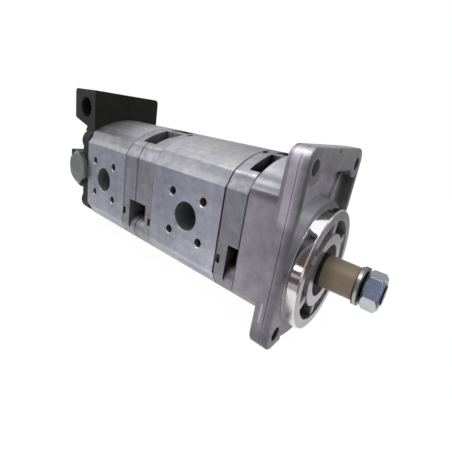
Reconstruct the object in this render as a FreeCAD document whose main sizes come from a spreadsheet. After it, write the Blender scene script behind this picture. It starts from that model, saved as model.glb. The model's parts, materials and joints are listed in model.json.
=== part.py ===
import FreeCAD, Part
import math
import os
import re
import Sketcher
from FreeCAD import Placement, Rotation, Vector

# Tandem external gear pump, in millimetres.
# Origin: centre of the pilot in the mounting face. +X runs out along the drive shaft, +Z is up.
# The driven gears lie above the drive gears, and the suction ports face -Y.

doc = FreeCAD.newDocument("tandem_gear_pump")
sheet = doc.addObject("Spreadsheet::Sheet", "Sizes")

SIZES = [
    # Lengths of the stack, from the mounting face to the back
    ("front_cover_length", 30.0, "mounting face to the back of the front cover"),
    ("flange_thickness", 12.0, "mounting flange"),
    ("bearing_cover_length", 15.5, "plate between front cover and front body"),
    ("front_body_length", 65.5, "front stage body"),
    ("front_rear_plate_length", 19.5, "plate behind the front body"),
    ("rear_front_plate_length", 15.3, "plate in front of the rear body"),
    ("rear_body_length", 57.9, "rear stage body"),
    ("rear_plate_length", 9.5, "flange part of the rear cover"),
    ("rear_cover_depth", 35.1, "whole rear cover"),
    # Outline that the stacked castings share
    ("body_half_width", 45.0, "side flats"),
    ("side_flat_half_height", 28.3, "side flats of bodies and plates"),
    ("cover_flat_half_height", 32.0, "side flats of the front cover"),
    ("shoulder_run", 5.5, "side flat to the corner of shoulder and crown"),
    ("corner_half_height", 38.0, "where shoulder and crown meet"),
    ("crown_half_height", 50.2, "top of the crown"),
    ("rear_plate_inset", 0.5, "rear cover inside the bodies' outline"),
    ("crown_round", 6.0, "edge between crown and shoulder"),
    ("extruded_round", 0.8, "edge between shoulder and flat of the bodies"),
    ("cast_round", 2.5, "edge between shoulder and flat of the plates"),
    ("punch_radius", 0.8, "punch marks on the bodies"),
    ("punch_depth", 0.6, "punch marks on the bodies"),
    ("punch_level", -9.6, "punch marks on the side flats"),
    ("punch_offset", 6.3, "punch marks behind the front joint of a body"),
    # Gears
    ("gear_spacing", 32.0, "centre distance"),
    ("gear_teeth", 12.0, "teeth on every gear"),
    ("pressure_angle", 25.0, "degrees"),
    ("gear_tip_radius", 18.6, "tip circle"),
    ("gear_root_radius", 12.8, "root circle"),
    ("gear_backlash", 0.1, "along the pitch circle"),
    ("gear_tip_clearance", 0.15, "tip to chamber"),
    ("gear_end_clearance", 0.05, "gear to bearing block, each end"),
    ("front_gear_width", 26.0, "chamber length of the front stage"),
    ("rear_gear_width", 21.0, "chamber length of the rear stage"),
    ("journal_radius", 9.0, "gear journals"),
    ("journal_end_gap", 0.3, "journal to cover"),
    ("running_clearance", 0.04, "journal to bush, radial"),
    ("slip_fit", 0.03, "still parts that slide together, radial"),
    ("bush_wall", 1.0, "rolled journal bush"),
    ("bush_length", 15.0, "journal bush"),
    # Ports
    ("front_port_offset", 30.9, "front port from the front joint of its body"),
    ("rear_port_offset", 31.9, "rear port from the front joint of its body"),
    ("suction_port_radius", 10.0, "large port on the -Y side"),
    ("suction_bolt_radius", 20.0, "its bolt circle"),
    ("pressure_port_radius", 7.5, "small port on the +Y side"),
    ("pressure_bolt_radius", 17.5, "its bolt circle"),
    ("port_floor", 19.0, "end of the full bore from the middle"),
    ("port_throat_step", 1.5, "throat narrower than the port"),
    ("port_throat_end", 11.0, "end of the throat from the middle"),
    ("port_screw_radius", 3.0, "threaded holes round a port"),
    ("port_screw_depth", 13.0, "their depth"),
    ("port_edge_chamfer", 0.6, "mouths of ports and screw holes"),
    # Through bolts and dowels
    ("bolt_edge", 10.2, "bolt axes in from the side flats"),
    ("bolt_half_height", 28.2, "bolt axes from the middle, up and down"),
    ("bolt_radius", 5.0, "bolt shank"),
    ("bolt_hole_radius", 5.5, "clear holes"),
    ("bolt_head_radius", 8.0, "low socket head"),
    ("bolt_head_height", 6.0, "low socket head"),
    ("bolt_socket_flats", 7.0, "hexagon socket"),
    ("bolt_socket_depth", 3.0, "hexagon socket"),
    ("bolt_tip_depth", 14.0, "mounting face to the end of the bolt"),
    ("bolt_tip_gap", 2.0, "blind hole past the bolt's end"),
    ("bolt_lobe_radius", 10.0, "lobes of the rear cover round the bolt heads"),
    ("bolt_lobe_length", 11.5, "joint to the back of the lobes"),
    ("bolt_sink_radius", 8.4, "counterbore"),
    ("bolt_sink_depth", 6.2, "counterbore"),
    ("dowel_edge", 7.0, "dowels in from the side flats"),
    ("dowel_level", 36.0, "dowels above the drive axis"),
    ("dowel_radius", 2.5, "dowel pin"),
    ("dowel_half_length", 5.0, "dowel pin in each part"),
    # Windows that lighten the die-cast plates
    ("window_boss_radius", 9.1, "bolt boss left standing in the windows"),
    ("side_window_top", 10.5, "level of the upper edge"),
    ("side_window_depth", 15.0, "in from the side flat"),
    ("crown_window_half_height", 36.0, "floor of the crown windows"),
    ("crown_window_edge", 1.2, "outer end past the bolt axis"),
    ("crown_shelf_step", 2.4, "deep part of the window, along the shaft"),
    ("crown_shelf_drop", 3.0, "shelf of the front pump's rear plate below the crown"),
    ("crown_rib_centre", 11.0, "ribs between the crown windows"),
    ("crown_rib_width", 4.0, "ribs between the crown windows"),
    ("front_rear_plate_window", 13.0, "window length along the shaft"),
    ("rear_front_plate_window", 7.0, "window length along the shaft"),
    ("bearing_cover_window", 7.8, "window length along the shaft"),
    ("notch_width", 3.2, "pry notches at the joints, along the shaft"),
    ("notch_height", 5.8, "pry notches at the joints"),
    ("notch_depth", 2.5, "pry notches at the joints"),
    ("notch_drop", 1.0, "middle of the side notches below the shaft"),
    ("crown_notch_offset", 11.0, "crown notches to the side of the middle"),
    ("crown_notch_level", 62.5, "floor of the crown notches"),
    ("joint_gap_width", 1.3, "open joint in front of the front body"),
    ("joint_gap_depth", 2.0, "open joint in front of the front body"),
    # Front cover: flange and pilot
    ("flange_half_width", 46.0, "flange from the middle"),
    ("flange_top", 76.0, "upper edge above the shaft"),
    ("flange_bottom", 44.5, "ears below the shaft"),
    ("flange_corner_radius", 9.5, "corners"),
    ("ear_inner_width", 26.0, "inner end of the lower ears"),
    ("ear_step", 2.3, "step up to the belly"),
    ("belly_drop", 45.9, "lowest point of the arc between the ears"),
    ("belly_flat_rise", 0.2, "flat in the middle of that arc, above the ears' underside"),
    ("flange_hole_half_width", 36.0, "mounting holes from the middle"),
    ("flange_hole_spacing", 100.0, "mounting holes, lower to upper"),
    ("flange_hole_drop", 34.5, "lower mounting holes below the shaft"),
    ("flange_hole_radius", 4.5, "mounting holes"),
    ("flange_edge_round", 1.2, "front edges of the flange"),
    ("flange_back_edge", 0.7, "back edges of the flange"),
    ("recess_depth", 7.65, "relieved area of the front face"),
    ("recess_half_width", 41.0, "inside the side rims"),
    ("recess_top", 62.0, "below the upper rim"),
    ("recess_shelf_depth", 5.85, "outer thirds of the relieved area"),
    ("recess_spread", 24.4, "degrees from upright to the outer thirds"),
    ("rim_notch_left", 5.6, "notch in the upper rim"),
    ("rim_notch_right", 3.0, "notch in the upper rim"),
    ("rim_notch_height", 3.3, "notch in the upper rim"),
    ("rim_notch_depth", 3.0, "notch in the upper rim"),
    ("hole_boss_radius", 9.5, "bosses round the upper holes"),
    ("hub_root_radius", 46.2, "hub at the floor of the recess"),
    ("hub_face_radius", 42.8, "hub at the mounting face"),
    ("pilot_radius", 40.0, "centring diameter"),
    ("pilot_height", 8.0, "mounting face to the pilot's end"),
    ("pilot_chamfer", 0.8, "edge of the pilot"),
    ("pilot_ring_inner", 33.4, "inside of the outer ring"),
    ("seal_ring_outer", 24.4, "outside of the inner ring"),
    ("pilot_pocket_depth", 15.0, "pockets between the spokes"),
    ("spoke_count", 6.0, "spokes"),
    ("spoke_width", 5.0, "spokes"),
    ("spoke_setback", 0.8, "spokes below the pilot's face"),
    # Shaft seal and bush
    ("seal_radius", 17.5, "bore for the shaft seal"),
    ("seal_setback", 9.0, "pilot's face to the seal"),
    ("seal_length", 7.0, "shaft seal"),
    ("seal_lip_inner_step", 4.5, "case opening round the lip"),
    ("seal_lip_station", 1.2, "lip edge behind the front of the seal"),
    ("seal_lip_mouth", 0.4, "lip opening at the front"),
    ("seal_lip_heel", 0.6, "lip opening at its back"),
    ("seal_lip_thickness", 1.2, "lip"),
    ("seal_wall", 1.8, "front wall of the case"),
    ("circlip_thickness", 1.2, "retaining ring"),
    ("circlip_groove", 1.3, "groove depth"),
    ("circlip_width", 2.8, "radial width of the ring"),
    ("cover_bush_wall", 2.0, "bush in the front cover"),
    ("cover_bush_length", 16.0, "bush in the front cover"),
    ("shaft_hole_clearance", 1.0, "shaft passage through the plates"),
    # Drive shaft, from the seal outwards
    ("shaft_radius", 10.0, "shaft in seal and bush"),
    ("shaft_shoulder", 3.6, "shoulder in front of the mounting face"),
    ("taper_start", 8.0, "large end of the taper"),
    ("taper_radius", 9.0, "large end of the taper"),
    ("taper_length", 18.0, "taper"),
    ("taper_slope", 0.1, "radius lost per length, one in five on diameter"),
    ("thread_radius", 7.0, "shaft thread"),
    ("thread_end", 42.9, "end of the shaft"),
    ("thread_chamfer", 1.2, "end of the shaft"),
    ("key_radius", 6.5, "woodruff key disc"),
    ("key_height", 5.0, "woodruff key"),
    ("key_width", 4.0, "woodruff key"),
    ("key_station", 16.0, "middle of the key"),
    ("key_top_radius", 9.2, "top of the key from the axis"),
    ("sleeve_outer_rear", 10.8, "protective sleeve"),
    ("sleeve_outer_front", 10.3, "protective sleeve"),
    ("sleeve_wall", 0.9, "protective sleeve"),
    ("sleeve_end", 28.1, "protective sleeve"),
    ("washer_outer", 12.05, "split spring washer"),
    ("washer_inner", 7.15, "split spring washer"),
    ("washer_thickness", 3.0, "split spring washer"),
    ("washer_pitch", 1.0, "rise of the free washer over one turn"),
    ("washer_slit", 10.0, "degrees left open"),
    ("nut_flats", 21.0, "across the flats"),
    ("nut_height", 10.0, "shaft nut"),
    ("nut_angle", 24.5, "turn of the flats, degrees"),
    ("hex_chamfer", 1.1, "corners of nut, plug and bolt heads"),
    # Splined coupling between the stages
    ("spline_minor_radius", 5.5, "bottom of the splines"),
    ("spline_major_radius", 7.0, "top of the splines"),
    ("spline_count", 6.0, "splines"),
    ("spline_width", 3.0, "splines"),
    ("spline_length", 14.0, "splined end of each shaft"),
    ("coupling_radius", 10.5, "coupling sleeve"),
    ("coupling_length", 30.0, "coupling sleeve"),
    # Seals between the castings
    ("joint_seal_margin", 2.2, "chamber wall to seal groove"),
    ("joint_seal_width", 2.0, "seal groove"),
    ("joint_seal_depth", 1.4, "seal groove"),
    ("passage_seal_margin", 3.0, "shaft passage to seal groove"),
    # Rear cover
    ("housing_inset", 14.0, "sides of the valve housing in from the side flats"),
    ("housing_shoulder", 46.0, "upper end of its straight sides"),
    ("housing_shoulder_run", 4.0, "narrower at the top"),
    ("housing_top", 57.0, "under the block"),
    ("housing_foot", -20.0, "lower end of its straight sides"),
    ("housing_heel_inset", 20.0, "lower corners in from the side flats"),
    ("housing_heel", -30.0, "lower corners"),
    ("housing_corner_radius", 14.0, "lower corners"),
    ("housing_belly_radius", 72.0, "underside"),
    ("block_left_inset", 5.6, "block in from the -Y side flat"),
    ("block_right_inset", 16.0, "block in from the +Y side flat"),
    ("block_top", 88.5, "block above the shaft"),
    ("block_foot", 52.0, "block at the pump body"),
    ("block_knee", 11.2, "where the underside starts to rise"),
    ("block_knee_level", 56.0, "where the underside starts to rise"),
    ("block_heel_level", 62.1, "underside at the back"),
    ("block_round", 3.5, "edges of the block"),
    ("block_heel_edge", 1.5, "its lower back edge"),
    ("block_port_station", 15.8, "threaded port behind the joint"),
    ("block_port_level", 73.1, "threaded port"),
    ("block_port_radius", 8.5, "threaded port"),
    ("block_port_depth", 16.0, "threaded port"),
    ("passage_radius", 4.0, "oil passage from the threaded port to the valve"),
    ("passage_end", 2.0, "upright part of the passage from the middle"),
    ("gallery_radius", 3.0, "oil gallery to the valve seat"),
    ("gallery_side", 16.0, "gallery from the middle"),
    ("gallery_groove_start", 9.0, "groove in the rear body that feeds the gallery"),
    ("plug_station", 13.8, "plug axis behind the joint"),
    ("plug_level", 18.5, "plug axis"),
    ("plug_boss_inset", 0.4, "plug boss in from the side flats"),
    ("plug_boss_radius", 18.5, "lower half of the boss"),
    ("plug_boss_top", 32.5, "flat top of the boss"),
    ("plug_flats", 27.0, "across the flats"),
    ("plug_turn", 35.0, "degrees"),
    ("plug_head_height", 3.6, "hexagon of the plug"),
    ("plug_thread_radius", 10.0, "plug"),
    ("plug_thread_length", 13.0, "plug"),
    ("plug_ring_radius", 13.5, "sealing washer"),
    ("plug_ring_thickness", 1.2, "sealing washer"),
    ("plug_sink_depth", 0.7, "seat of the sealing washer"),
    # Relief valve
    ("valve_bore_radius", 6.0, "poppet guide"),
    ("valve_seat_station", 6.0, "seat face from the middle"),
    ("valve_seat_length", 6.0, "seat insert"),
    ("valve_seat_radius", 7.5, "seat insert"),
    ("valve_orifice_radius", 3.0, "hole in the seat"),
    ("poppet_length", 14.0, "guided part of the poppet"),
    ("poppet_cone_length", 1.5, "cone inside the seat"),
    ("poppet_tip_radius", 1.5, "end of the cone"),
    ("poppet_cone_clearance", 0.1, "cone to orifice, radial"),
    ("poppet_collar", 0.5, "cone to the guided part"),
    ("poppet_collar_step", 0.4, "collar past the orifice"),
    ("poppet_stem_radius", 2.2, "stem inside the spring"),
    ("poppet_stem_length", 6.0, "stem inside the spring"),
    ("poppet_seat_gap", 0.02, "cone to seat at rest"),
    ("spring_radius", 4.2, "middle of the wire"),
    ("spring_wire_radius", 0.8, "wire"),
    ("spring_turns", 5.0, "turns"),
]

for line, (alias, number, note) in enumerate(SIZES, start=1):
    sheet.set(f"A{line}", note)
    sheet.set(f"B{line}", str(number))
    sheet.setAlias(f"B{line}", alias)
doc.recompute()
ALIASES = {alias for alias, number, note in SIZES}

# Stations along the shaft and levels above it, as formulas over the sizes
COVER_JOINT = "(-front_cover_length)"
BEARING_JOINT = f"({COVER_JOINT} - bearing_cover_length)"
FRONT_BODY_END = f"({BEARING_JOINT} - front_body_length)"
STAGE_JOINT = f"({FRONT_BODY_END} - front_rear_plate_length)"
REAR_BODY_START = f"({STAGE_JOINT} - rear_front_plate_length)"
REAR_BODY_END = f"({REAR_BODY_START} - rear_body_length)"
REAR_PLATE_BACK = f"({REAR_BODY_END} - rear_plate_length)"
REAR_FACE = f"({REAR_BODY_END} - rear_cover_depth)"
FRONT_PORT = f"({BEARING_JOINT} - front_port_offset)"
REAR_PORT = f"({REAR_BODY_START} - rear_port_offset)"
FRONT_GEAR_START = f"({FRONT_PORT} + front_gear_width / 2)"
FRONT_GEAR_END = f"({FRONT_PORT} - front_gear_width / 2)"
REAR_GEAR_START = f"({REAR_PORT} + rear_gear_width / 2)"
REAR_GEAR_END = f"({REAR_PORT} - rear_gear_width / 2)"
SEAL_FRONT = "(pilot_height - seal_setback)"
SEAL_BACK = f"({SEAL_FRONT} - seal_length)"
MIDDLE = "(gear_spacing / 2)"
CHAMBER_RADIUS = "(gear_tip_radius + gear_tip_clearance)"
PASSAGE_RADIUS = "(shaft_radius + shaft_hole_clearance)"
COUPLING_PASSAGE = "(coupling_radius + shaft_hole_clearance)"
BUSH_OUTER = "(journal_radius + running_clearance + bush_wall)"
COVER_BUSH_OUTER = "(shaft_radius + running_clearance + cover_bush_wall)"
CROWN_RISE = "(crown_half_height - corner_half_height)"
PLUG_STATION = f"({REAR_BODY_END} - plug_station)"
LOBE_BACK = f"({REAR_BODY_END} - bolt_lobe_length)"
CORNER = "(body_half_width - shoulder_run)"
BOLT_ACROSS = "(body_half_width - bolt_edge)"
DOWEL_ACROSS = "(body_half_width - dowel_edge)"
BLOCK_LEFT = "(body_half_width - block_left_inset)"
BLOCK_RIGHT = "(body_half_width - block_right_inset)"
PLUG_FACE = "(body_half_width - plug_boss_inset)"
SHOULDER_TURN = "atan(shoulder_run / (corner_half_height - side_flat_half_height))"
CROWN_RADIUS = f"(({CORNER} ^ 2 + {CROWN_RISE} ^ 2) / (2 * {CROWN_RISE}))"

DRIVE_AXIS = ("0", "0")
DRIVEN_AXIS = ("0", "gear_spacing")
BOLT_PLACES = [(f"{y}{BOLT_ACROSS}", f"{MIDDLE} {z} bolt_half_height") for y in "+-" for z in "+-"]
DOWEL_PLACES = [(DOWEL_ACROSS, "dowel_level"), (f"-{DOWEL_ACROSS}", "dowel_level")]
FLANGE_HOLES = [(f"{y}flange_hole_half_width", level) for y in "+-"
                for level in ("-flange_hole_drop", "flange_hole_spacing - flange_hole_drop")]

ALONG_X = Rotation(Vector(0, 1, 0), 90)
ALONG_MINUS_Y = Rotation(Vector(1, 0, 0), 90)
SMALL = 1e-7


# Formulas and sketches

def formula(text):
    """The text with every alias written as a cell of the sheet."""
    text = re.sub(r"[a-z][a-z_]+", lambda word: "Sizes." + word[0] if word[0] in ALIASES else word[0], text)
    return text.lstrip("+")


def bind(thing, prop, text):
    thing.setExpression(prop, formula(text))


def value(text):
    """The number that a formula gives now."""
    answer = sheet.evalExpression(formula(text))
    return float(getattr(answer, "Value", answer))


def new_body(label):
    body = doc.addObject("PartDesign::Body", label)
    body.Label = label
    return body


def origin_part(body, role):
    return next(part for part in body.Origin.OriginFeatures if part.Role == role)


def new_sketch(body, role, offset):
    """A sketch on a plane of the body's own origin, moved along the plane's normal."""
    sketch = body.newObject("Sketcher::SketchObject", "sketch")
    sketch.AttachmentSupport = [(origin_part(body, role), "")]
    sketch.MapMode = "FlatFace"
    bind(sketch, "AttachmentOffset.Base.z", offset)
    return sketch


def rule(sketch, text, *constraint):
    """A dimension of the sketch that follows a formula."""
    number = sketch.addConstraint(Sketcher.Constraint(*constraint, value(text)))
    bind(sketch, f"Constraints[{number}]", text)


def fix(sketch, item, end, across, up):
    """Holds a point of the sketch at its two coordinates."""
    for kind, axis, text in (("DistanceX", -2, across), ("DistanceY", -1, up)):
        if abs(value(text)) < SMALL:
            sketch.addConstraint(Sketcher.Constraint("PointOnObject", item, end, axis))
        else:
            rule(sketch, text, kind, -1, 1, item, end)


def circles(sketch, places, radius):
    for across, up in places:
        centre = Vector(value(across), value(up), 0)
        item = sketch.addGeometry(Part.Circle(centre, Vector(0, 0, 1), value(radius)))
        fix(sketch, item, 3, across, up)
        rule(sketch, radius, "Radius", item)


def arc_edge(start, end, radius, turn):
    """An arc of up to half a turn; turn is 1 where it bends left and -1 where it bends right."""
    half = (end - start) * 0.5
    side = Vector(-half.y, half.x, 0).normalize() * turn
    centre = start + half + side * math.sqrt(max(radius ** 2 - half.Length ** 2, 0))
    first, last = (start, end) if turn > 0 else (end, start)
    first_angle = math.atan2(first.y - centre.y, first.x - centre.x)
    last_angle = math.atan2(last.y - centre.y, last.x - centre.x)
    circle = Part.Circle(centre, Vector(0, 0, 1), radius)
    return Part.ArcOfCircle(circle, first_angle, last_angle)


def outline(sketch, corners):
    """A closed loop. A corner is (across, up), with (radius, turn) added where an arc follows it."""
    points = [Vector(value(corner[0]), value(corner[1]), 0) for corner in corners]
    items = []
    for number, corner in enumerate(corners):
        start, end = points[number], points[(number + 1) % len(points)]
        if len(corner) == 2:
            items.append((sketch.addGeometry(Part.LineSegment(start, end)), 1, 2))
        else:
            arc = sketch.addGeometry(arc_edge(start, end, value(corner[2]), corner[3]))
            items.append((arc, 1, 2) if corner[3] > 0 else (arc, 2, 1))
    for number, (item, first, last) in enumerate(items):
        next_item, next_first, next_last = items[(number + 1) % len(items)]
        sketch.addConstraint(Sketcher.Constraint("Coincident", item, last, next_item, next_first))
        fix(sketch, item, first, *corners[number][:2])
        if len(corners[number]) > 2:
            rule(sketch, corners[number][2], "Radius", item)


def rectangle(sketch, left, low, right, high):
    outline(sketch, [(left, low), (right, low), (right, high), (left, high)])


# Features

def feature(body, kind, sketch, length, backward=False):
    """A pad or pocket. A pad runs along the sketch's normal and a pocket against it, unless backward."""
    step = body.newObject(f"PartDesign::{kind}", kind.lower())
    step.Profile = sketch
    step.Reversed = backward
    bind(step, "Length", length)
    return step


def turned(body, kind, sketch, axis="H_Axis"):
    step = body.newObject(f"PartDesign::{kind}", kind.lower())
    step.Profile = sketch
    step.ReferenceAxis = (sketch, [axis])
    step.Angle = 360
    return step


def around_shaft(body, original, count, angle=360):
    """Copies of one feature spaced round the shaft."""
    pattern = body.newObject("PartDesign::PolarPattern", "pattern")
    pattern.Originals = [original]
    pattern.Axis = (origin_part(body, "X_Axis"), [""])
    pattern.Angle = angle
    bind(pattern, "Occurrences", count)
    body.Tip = pattern
    return pattern


def drill(body, station, places, radius, depth, forward=False):
    """Round holes along the shaft, cut backwards from the station unless forward."""
    sketch = new_sketch(body, "YZ_Plane", station)
    circles(sketch, places, radius)
    return feature(body, "Pocket", sketch, depth, forward)


def drill_side(body, face, places, radius, depth, side=-1):
    """Round holes cut inwards from a face towards -Y (side -1) or +Y (side 1)."""
    sketch = new_sketch(body, "XZ_Plane", face if side < 0 else f"-({face})")
    circles(sketch, places, radius)
    return feature(body, "Pocket", sketch, depth, side > 0)


def soften(body, kind, size, picked):
    """A chamfer or fillet on the edges of the body's last feature that picked says yes to."""
    doc.recompute()
    base = body.Tip
    names = [f"Edge{number}" for number, edge in enumerate(base.Shape.Edges, start=1) if picked(edge)]
    step = body.newObject(f"PartDesign::{kind}", kind.lower())
    step.Base = (base, names)
    bind(step, "Size" if kind == "Chamfer" else "Radius", size)
    return step


def round_edge(face, side, radii):
    """Says whether an edge is a circle of one of the radii in the plane y = side * face."""
    level = side * value(face)
    wanted = [value(radius) for radius in radii]

    def picked(edge):
        box = edge.BoundBox
        return (edge.isClosed() and abs(box.YMin - level) < SMALL and abs(box.YMax - level) < SMALL
                and any(abs(box.XLength - 2 * radius) < SMALL for radius in wanted))
    return picked


def between_points(*places):
    """Picks edges with both ends at one of the given places, where None stands for any number."""
    def picked(edge):
        return any(all(wanted is None or abs(number - wanted) < SMALL
                       for vertex in edge.Vertexes for number, wanted in zip(vertex.Point, place))
                   for place in places)
    return picked


def tube(name, station, length, outer, inner=None, place=DRIVE_AXIS):
    """A cylinder or tube along +X from the station."""
    outside = cylinder(name + "_outside", (station, *place), outer, length, ALONG_X)
    if inner is None:
        return outside
    inside = cylinder(name + "_inside", (f"{station} - 1", *place), inner, f"{length} + 2", ALONG_X)
    return cut(name, outside, inside)


def cylinder(name, place, radius, length, turn):
    solid = doc.addObject("Part::Cylinder", name)
    solid.Placement = Placement(Vector(), turn)
    set_place(solid, place)
    bind(solid, "Radius", radius)
    bind(solid, "Height", length)
    return solid


def box(name, corner, lengths):
    solid = doc.addObject("Part::Box", name)
    set_place(solid, corner)
    for prop, length in zip(("Length", "Width", "Height"), lengths):
        bind(solid, prop, length)
    return solid


def set_place(solid, place):
    for letter, text in zip("xyz", place):
        bind(solid, f"Placement.Base.{letter}", text)


def cut(name, base, tool):
    result = doc.addObject("Part::Cut", name)
    result.Base = base
    result.Tool = tool
    return result


def joined(name, kind, solids):
    """A fuse, a common or a loose group of solids."""
    result = doc.addObject(f"Part::{kind}", name)
    setattr(result, "Links" if kind == "Compound" else "Shapes", solids)
    return result


def hexagon(sketch, across_flats, place=DRIVE_AXIS, turn="0"):
    """A regular hexagon with corners at turn plus every 60 degrees."""
    across, up = place
    radius = f"({across_flats} / 2 / cos(30))"
    outline(sketch, [(f"{across} + {radius} * cos({turn} + {60 * side})",
                      f"{up} + {radius} * sin({turn} + {60 * side})") for side in range(6)])


# Shared forms of the castings

def casting_outline(sketch, flat_half_height, inset="0"):
    """Side flats, sloped shoulders and a crowned top and bottom."""
    flat = f"(body_half_width - {inset})"
    corner = f"({CORNER} - {inset})"
    high = f"(corner_half_height - {inset})"
    crown = (f"({corner} ^ 2 + {CROWN_RISE} ^ 2) / (2 * {CROWN_RISE})", 1)
    outline(sketch, [
        (flat, f"{MIDDLE} - {flat_half_height}"),
        (flat, f"{MIDDLE} + {flat_half_height}"),
        (corner, f"{MIDDLE} + {high}", *crown),
        (f"-{corner}", f"{MIDDLE} + {high}"),
        (f"-{flat}", f"{MIDDLE} + {flat_half_height}"),
        (f"-{flat}", f"{MIDDLE} - {flat_half_height}"),
        (f"-{corner}", f"{MIDDLE} - {high}", *crown),
        (corner, f"{MIDDLE} - {high}"),
    ])


def stack_part(label, front, length, shoulder_round):
    """A body or plate of the stack, with its bolt holes."""
    body = new_body(label)
    sketch = new_sketch(body, "YZ_Plane", front)
    casting_outline(sketch, "side_flat_half_height")
    feature(body, "Pad", sketch, length, True)
    round_shoulders(body, "side_flat_half_height", shoulder_round)
    drill(body, front, BOLT_PLACES, "bolt_hole_radius", length)
    return body


def round_shoulders(body, flat_half_height, shoulder_round):
    """Rounds the long edges of a casting where flat, shoulder and crown meet."""
    for across, level, radius in ((CORNER, "corner_half_height", "crown_round"),
                                  ("body_half_width", flat_half_height, shoulder_round)):
        places = [(None, side * value(across), value(f"{MIDDLE} {direction} {level}"))
                  for side in (1, -1) for direction in "+-"]
        soften(body, "Fillet", radius, between_points(*places))


def dowel_holes(body, station, forward=False):
    drill(body, station, DOWEL_PLACES, "dowel_radius + slip_fit", "dowel_half_length + slip_fit", forward)


SEAL_INNER = f"({CHAMBER_RADIUS} + joint_seal_margin)"
SEAL_OUTER = f"({SEAL_INNER} + joint_seal_width)"
RING_INNER = f"({PASSAGE_RADIUS} + passage_seal_margin)"
RING_OUTER = f"({RING_INNER} + joint_seal_width)"


def stadium(sketch, radius):
    """The racetrack with its round ends held at their centres."""
    level = {1: "gear_spacing", -1: "0"}
    reach = value(radius)
    top = value("gear_spacing")
    right = sketch.addGeometry(Part.LineSegment(Vector(reach, 0, 0), Vector(reach, top, 0)))
    left = sketch.addGeometry(Part.LineSegment(Vector(-reach, top, 0), Vector(-reach, 0, 0)))
    ends = {}
    for side, height in ((1, top), (-1, 0)):
        circle = Part.Circle(Vector(0, height, 0), Vector(0, 0, 1), reach)
        start = 0 if side > 0 else math.pi
        ends[side] = sketch.addGeometry(Part.ArcOfCircle(circle, start, start + math.pi))
        fix(sketch, ends[side], 3, "0", level[side])
    for line, far, near in ((right, ends[1], ends[-1]), (left, ends[-1], ends[1])):
        sketch.addConstraint(Sketcher.Constraint("Tangent", line, 2, far, 1))
        sketch.addConstraint(Sketcher.Constraint("Tangent", near, 2, line, 1))
    rule(sketch, radius, "Radius", ends[1])


def joint_seal_groove(body, station, forward=False):
    sketch = new_sketch(body, "YZ_Plane", station)
    stadium(sketch, SEAL_INNER)
    stadium(sketch, SEAL_OUTER)
    feature(body, "Pocket", sketch, "joint_seal_depth", forward)


def passage_seal_groove(body, station, forward=False):
    sketch = new_sketch(body, "YZ_Plane", station)
    circles(sketch, [DRIVE_AXIS], RING_INNER)
    circles(sketch, [DRIVE_AXIS], RING_OUTER)
    feature(body, "Pocket", sketch, "joint_seal_depth", forward)


def side_windows(body, station, depth, forward=False):
    """Pockets in the joint face above the lower bolts, open to the side flats."""
    sketch = new_sketch(body, "YZ_Plane", station)
    boss_level = f"({MIDDLE} - bolt_half_height)"
    inner = "(body_half_width - side_window_depth)"
    outside = "(body_half_width + 1)"
    inner_rise = f"sqrt(window_boss_radius ^ 2 - ({BOLT_ACROSS} - {inner}) ^ 2)"
    out, down = f"cos({SHOULDER_TURN})", f"sin({SHOULDER_TURN})"
    for sign, side in (("", 1), ("-", -1)):
        outline(sketch, [
            (f"{sign}{outside}", "side_window_top"),
            (f"{sign}{inner}", "side_window_top"),
            (f"{sign}{inner}", f"{boss_level} + {inner_rise}", "window_boss_radius", -side),
            (f"{sign}({BOLT_ACROSS} + window_boss_radius * {out})",
             f"{boss_level} - window_boss_radius * {down}"),
            (f"{sign}({BOLT_ACROSS} + (bolt_edge + 1) * {out})", f"{boss_level} - (bolt_edge + 1) * {down}"),
            (f"{sign}{outside}", f"{boss_level} - (bolt_edge + 1) * {down}"),
        ])
    feature(body, "Pocket", sketch, depth, forward)


def crown_windows(body, station, depth, forward=False):
    """Pockets in the joint face, open to crown and belly, with ribs between them."""
    sketch = new_sketch(body, "YZ_Plane", station)
    reach = "crown_half_height + 1"
    floor = "crown_window_half_height"
    rib = "(crown_rib_centre + crown_rib_width / 2)"
    edge = f"({BOLT_ACROSS} + crown_window_edge)"
    crown_run = f"sqrt(window_boss_radius ^ 2 - ({floor} - bolt_half_height) ^ 2)"
    edge_rise = "sqrt(window_boss_radius ^ 2 - crown_window_edge ^ 2)"
    for sign, side in (("", 1), ("-", -1)):
        for direction, up in (("+", 1), ("-", -1)):
            outline(sketch, [
                (f"{sign}{rib}", f"{MIDDLE} {direction} ({reach})"),
                (f"{sign}{rib}", f"{MIDDLE} {direction} {floor}"),
                (f"{sign}({BOLT_ACROSS} - {crown_run})", f"{MIDDLE} {direction} {floor}",
                 "window_boss_radius", -side * up),
                (f"{sign}{edge}", f"{MIDDLE} {direction} (bolt_half_height + {edge_rise})"),
                (f"{sign}{edge}", f"{MIDDLE} {direction} ({reach})"),
            ])
    between = "(crown_rib_centre - crown_rib_width / 2)"
    for direction in "+-":
        near = f"{MIDDLE} {direction} {floor}"
        far = f"{MIDDLE} {direction} ({reach})"
        outline(sketch, [(f"-{between}", near), (between, near), (between, far), (f"-{between}", far)])
    feature(body, "Pocket", sketch, depth, forward)


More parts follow.
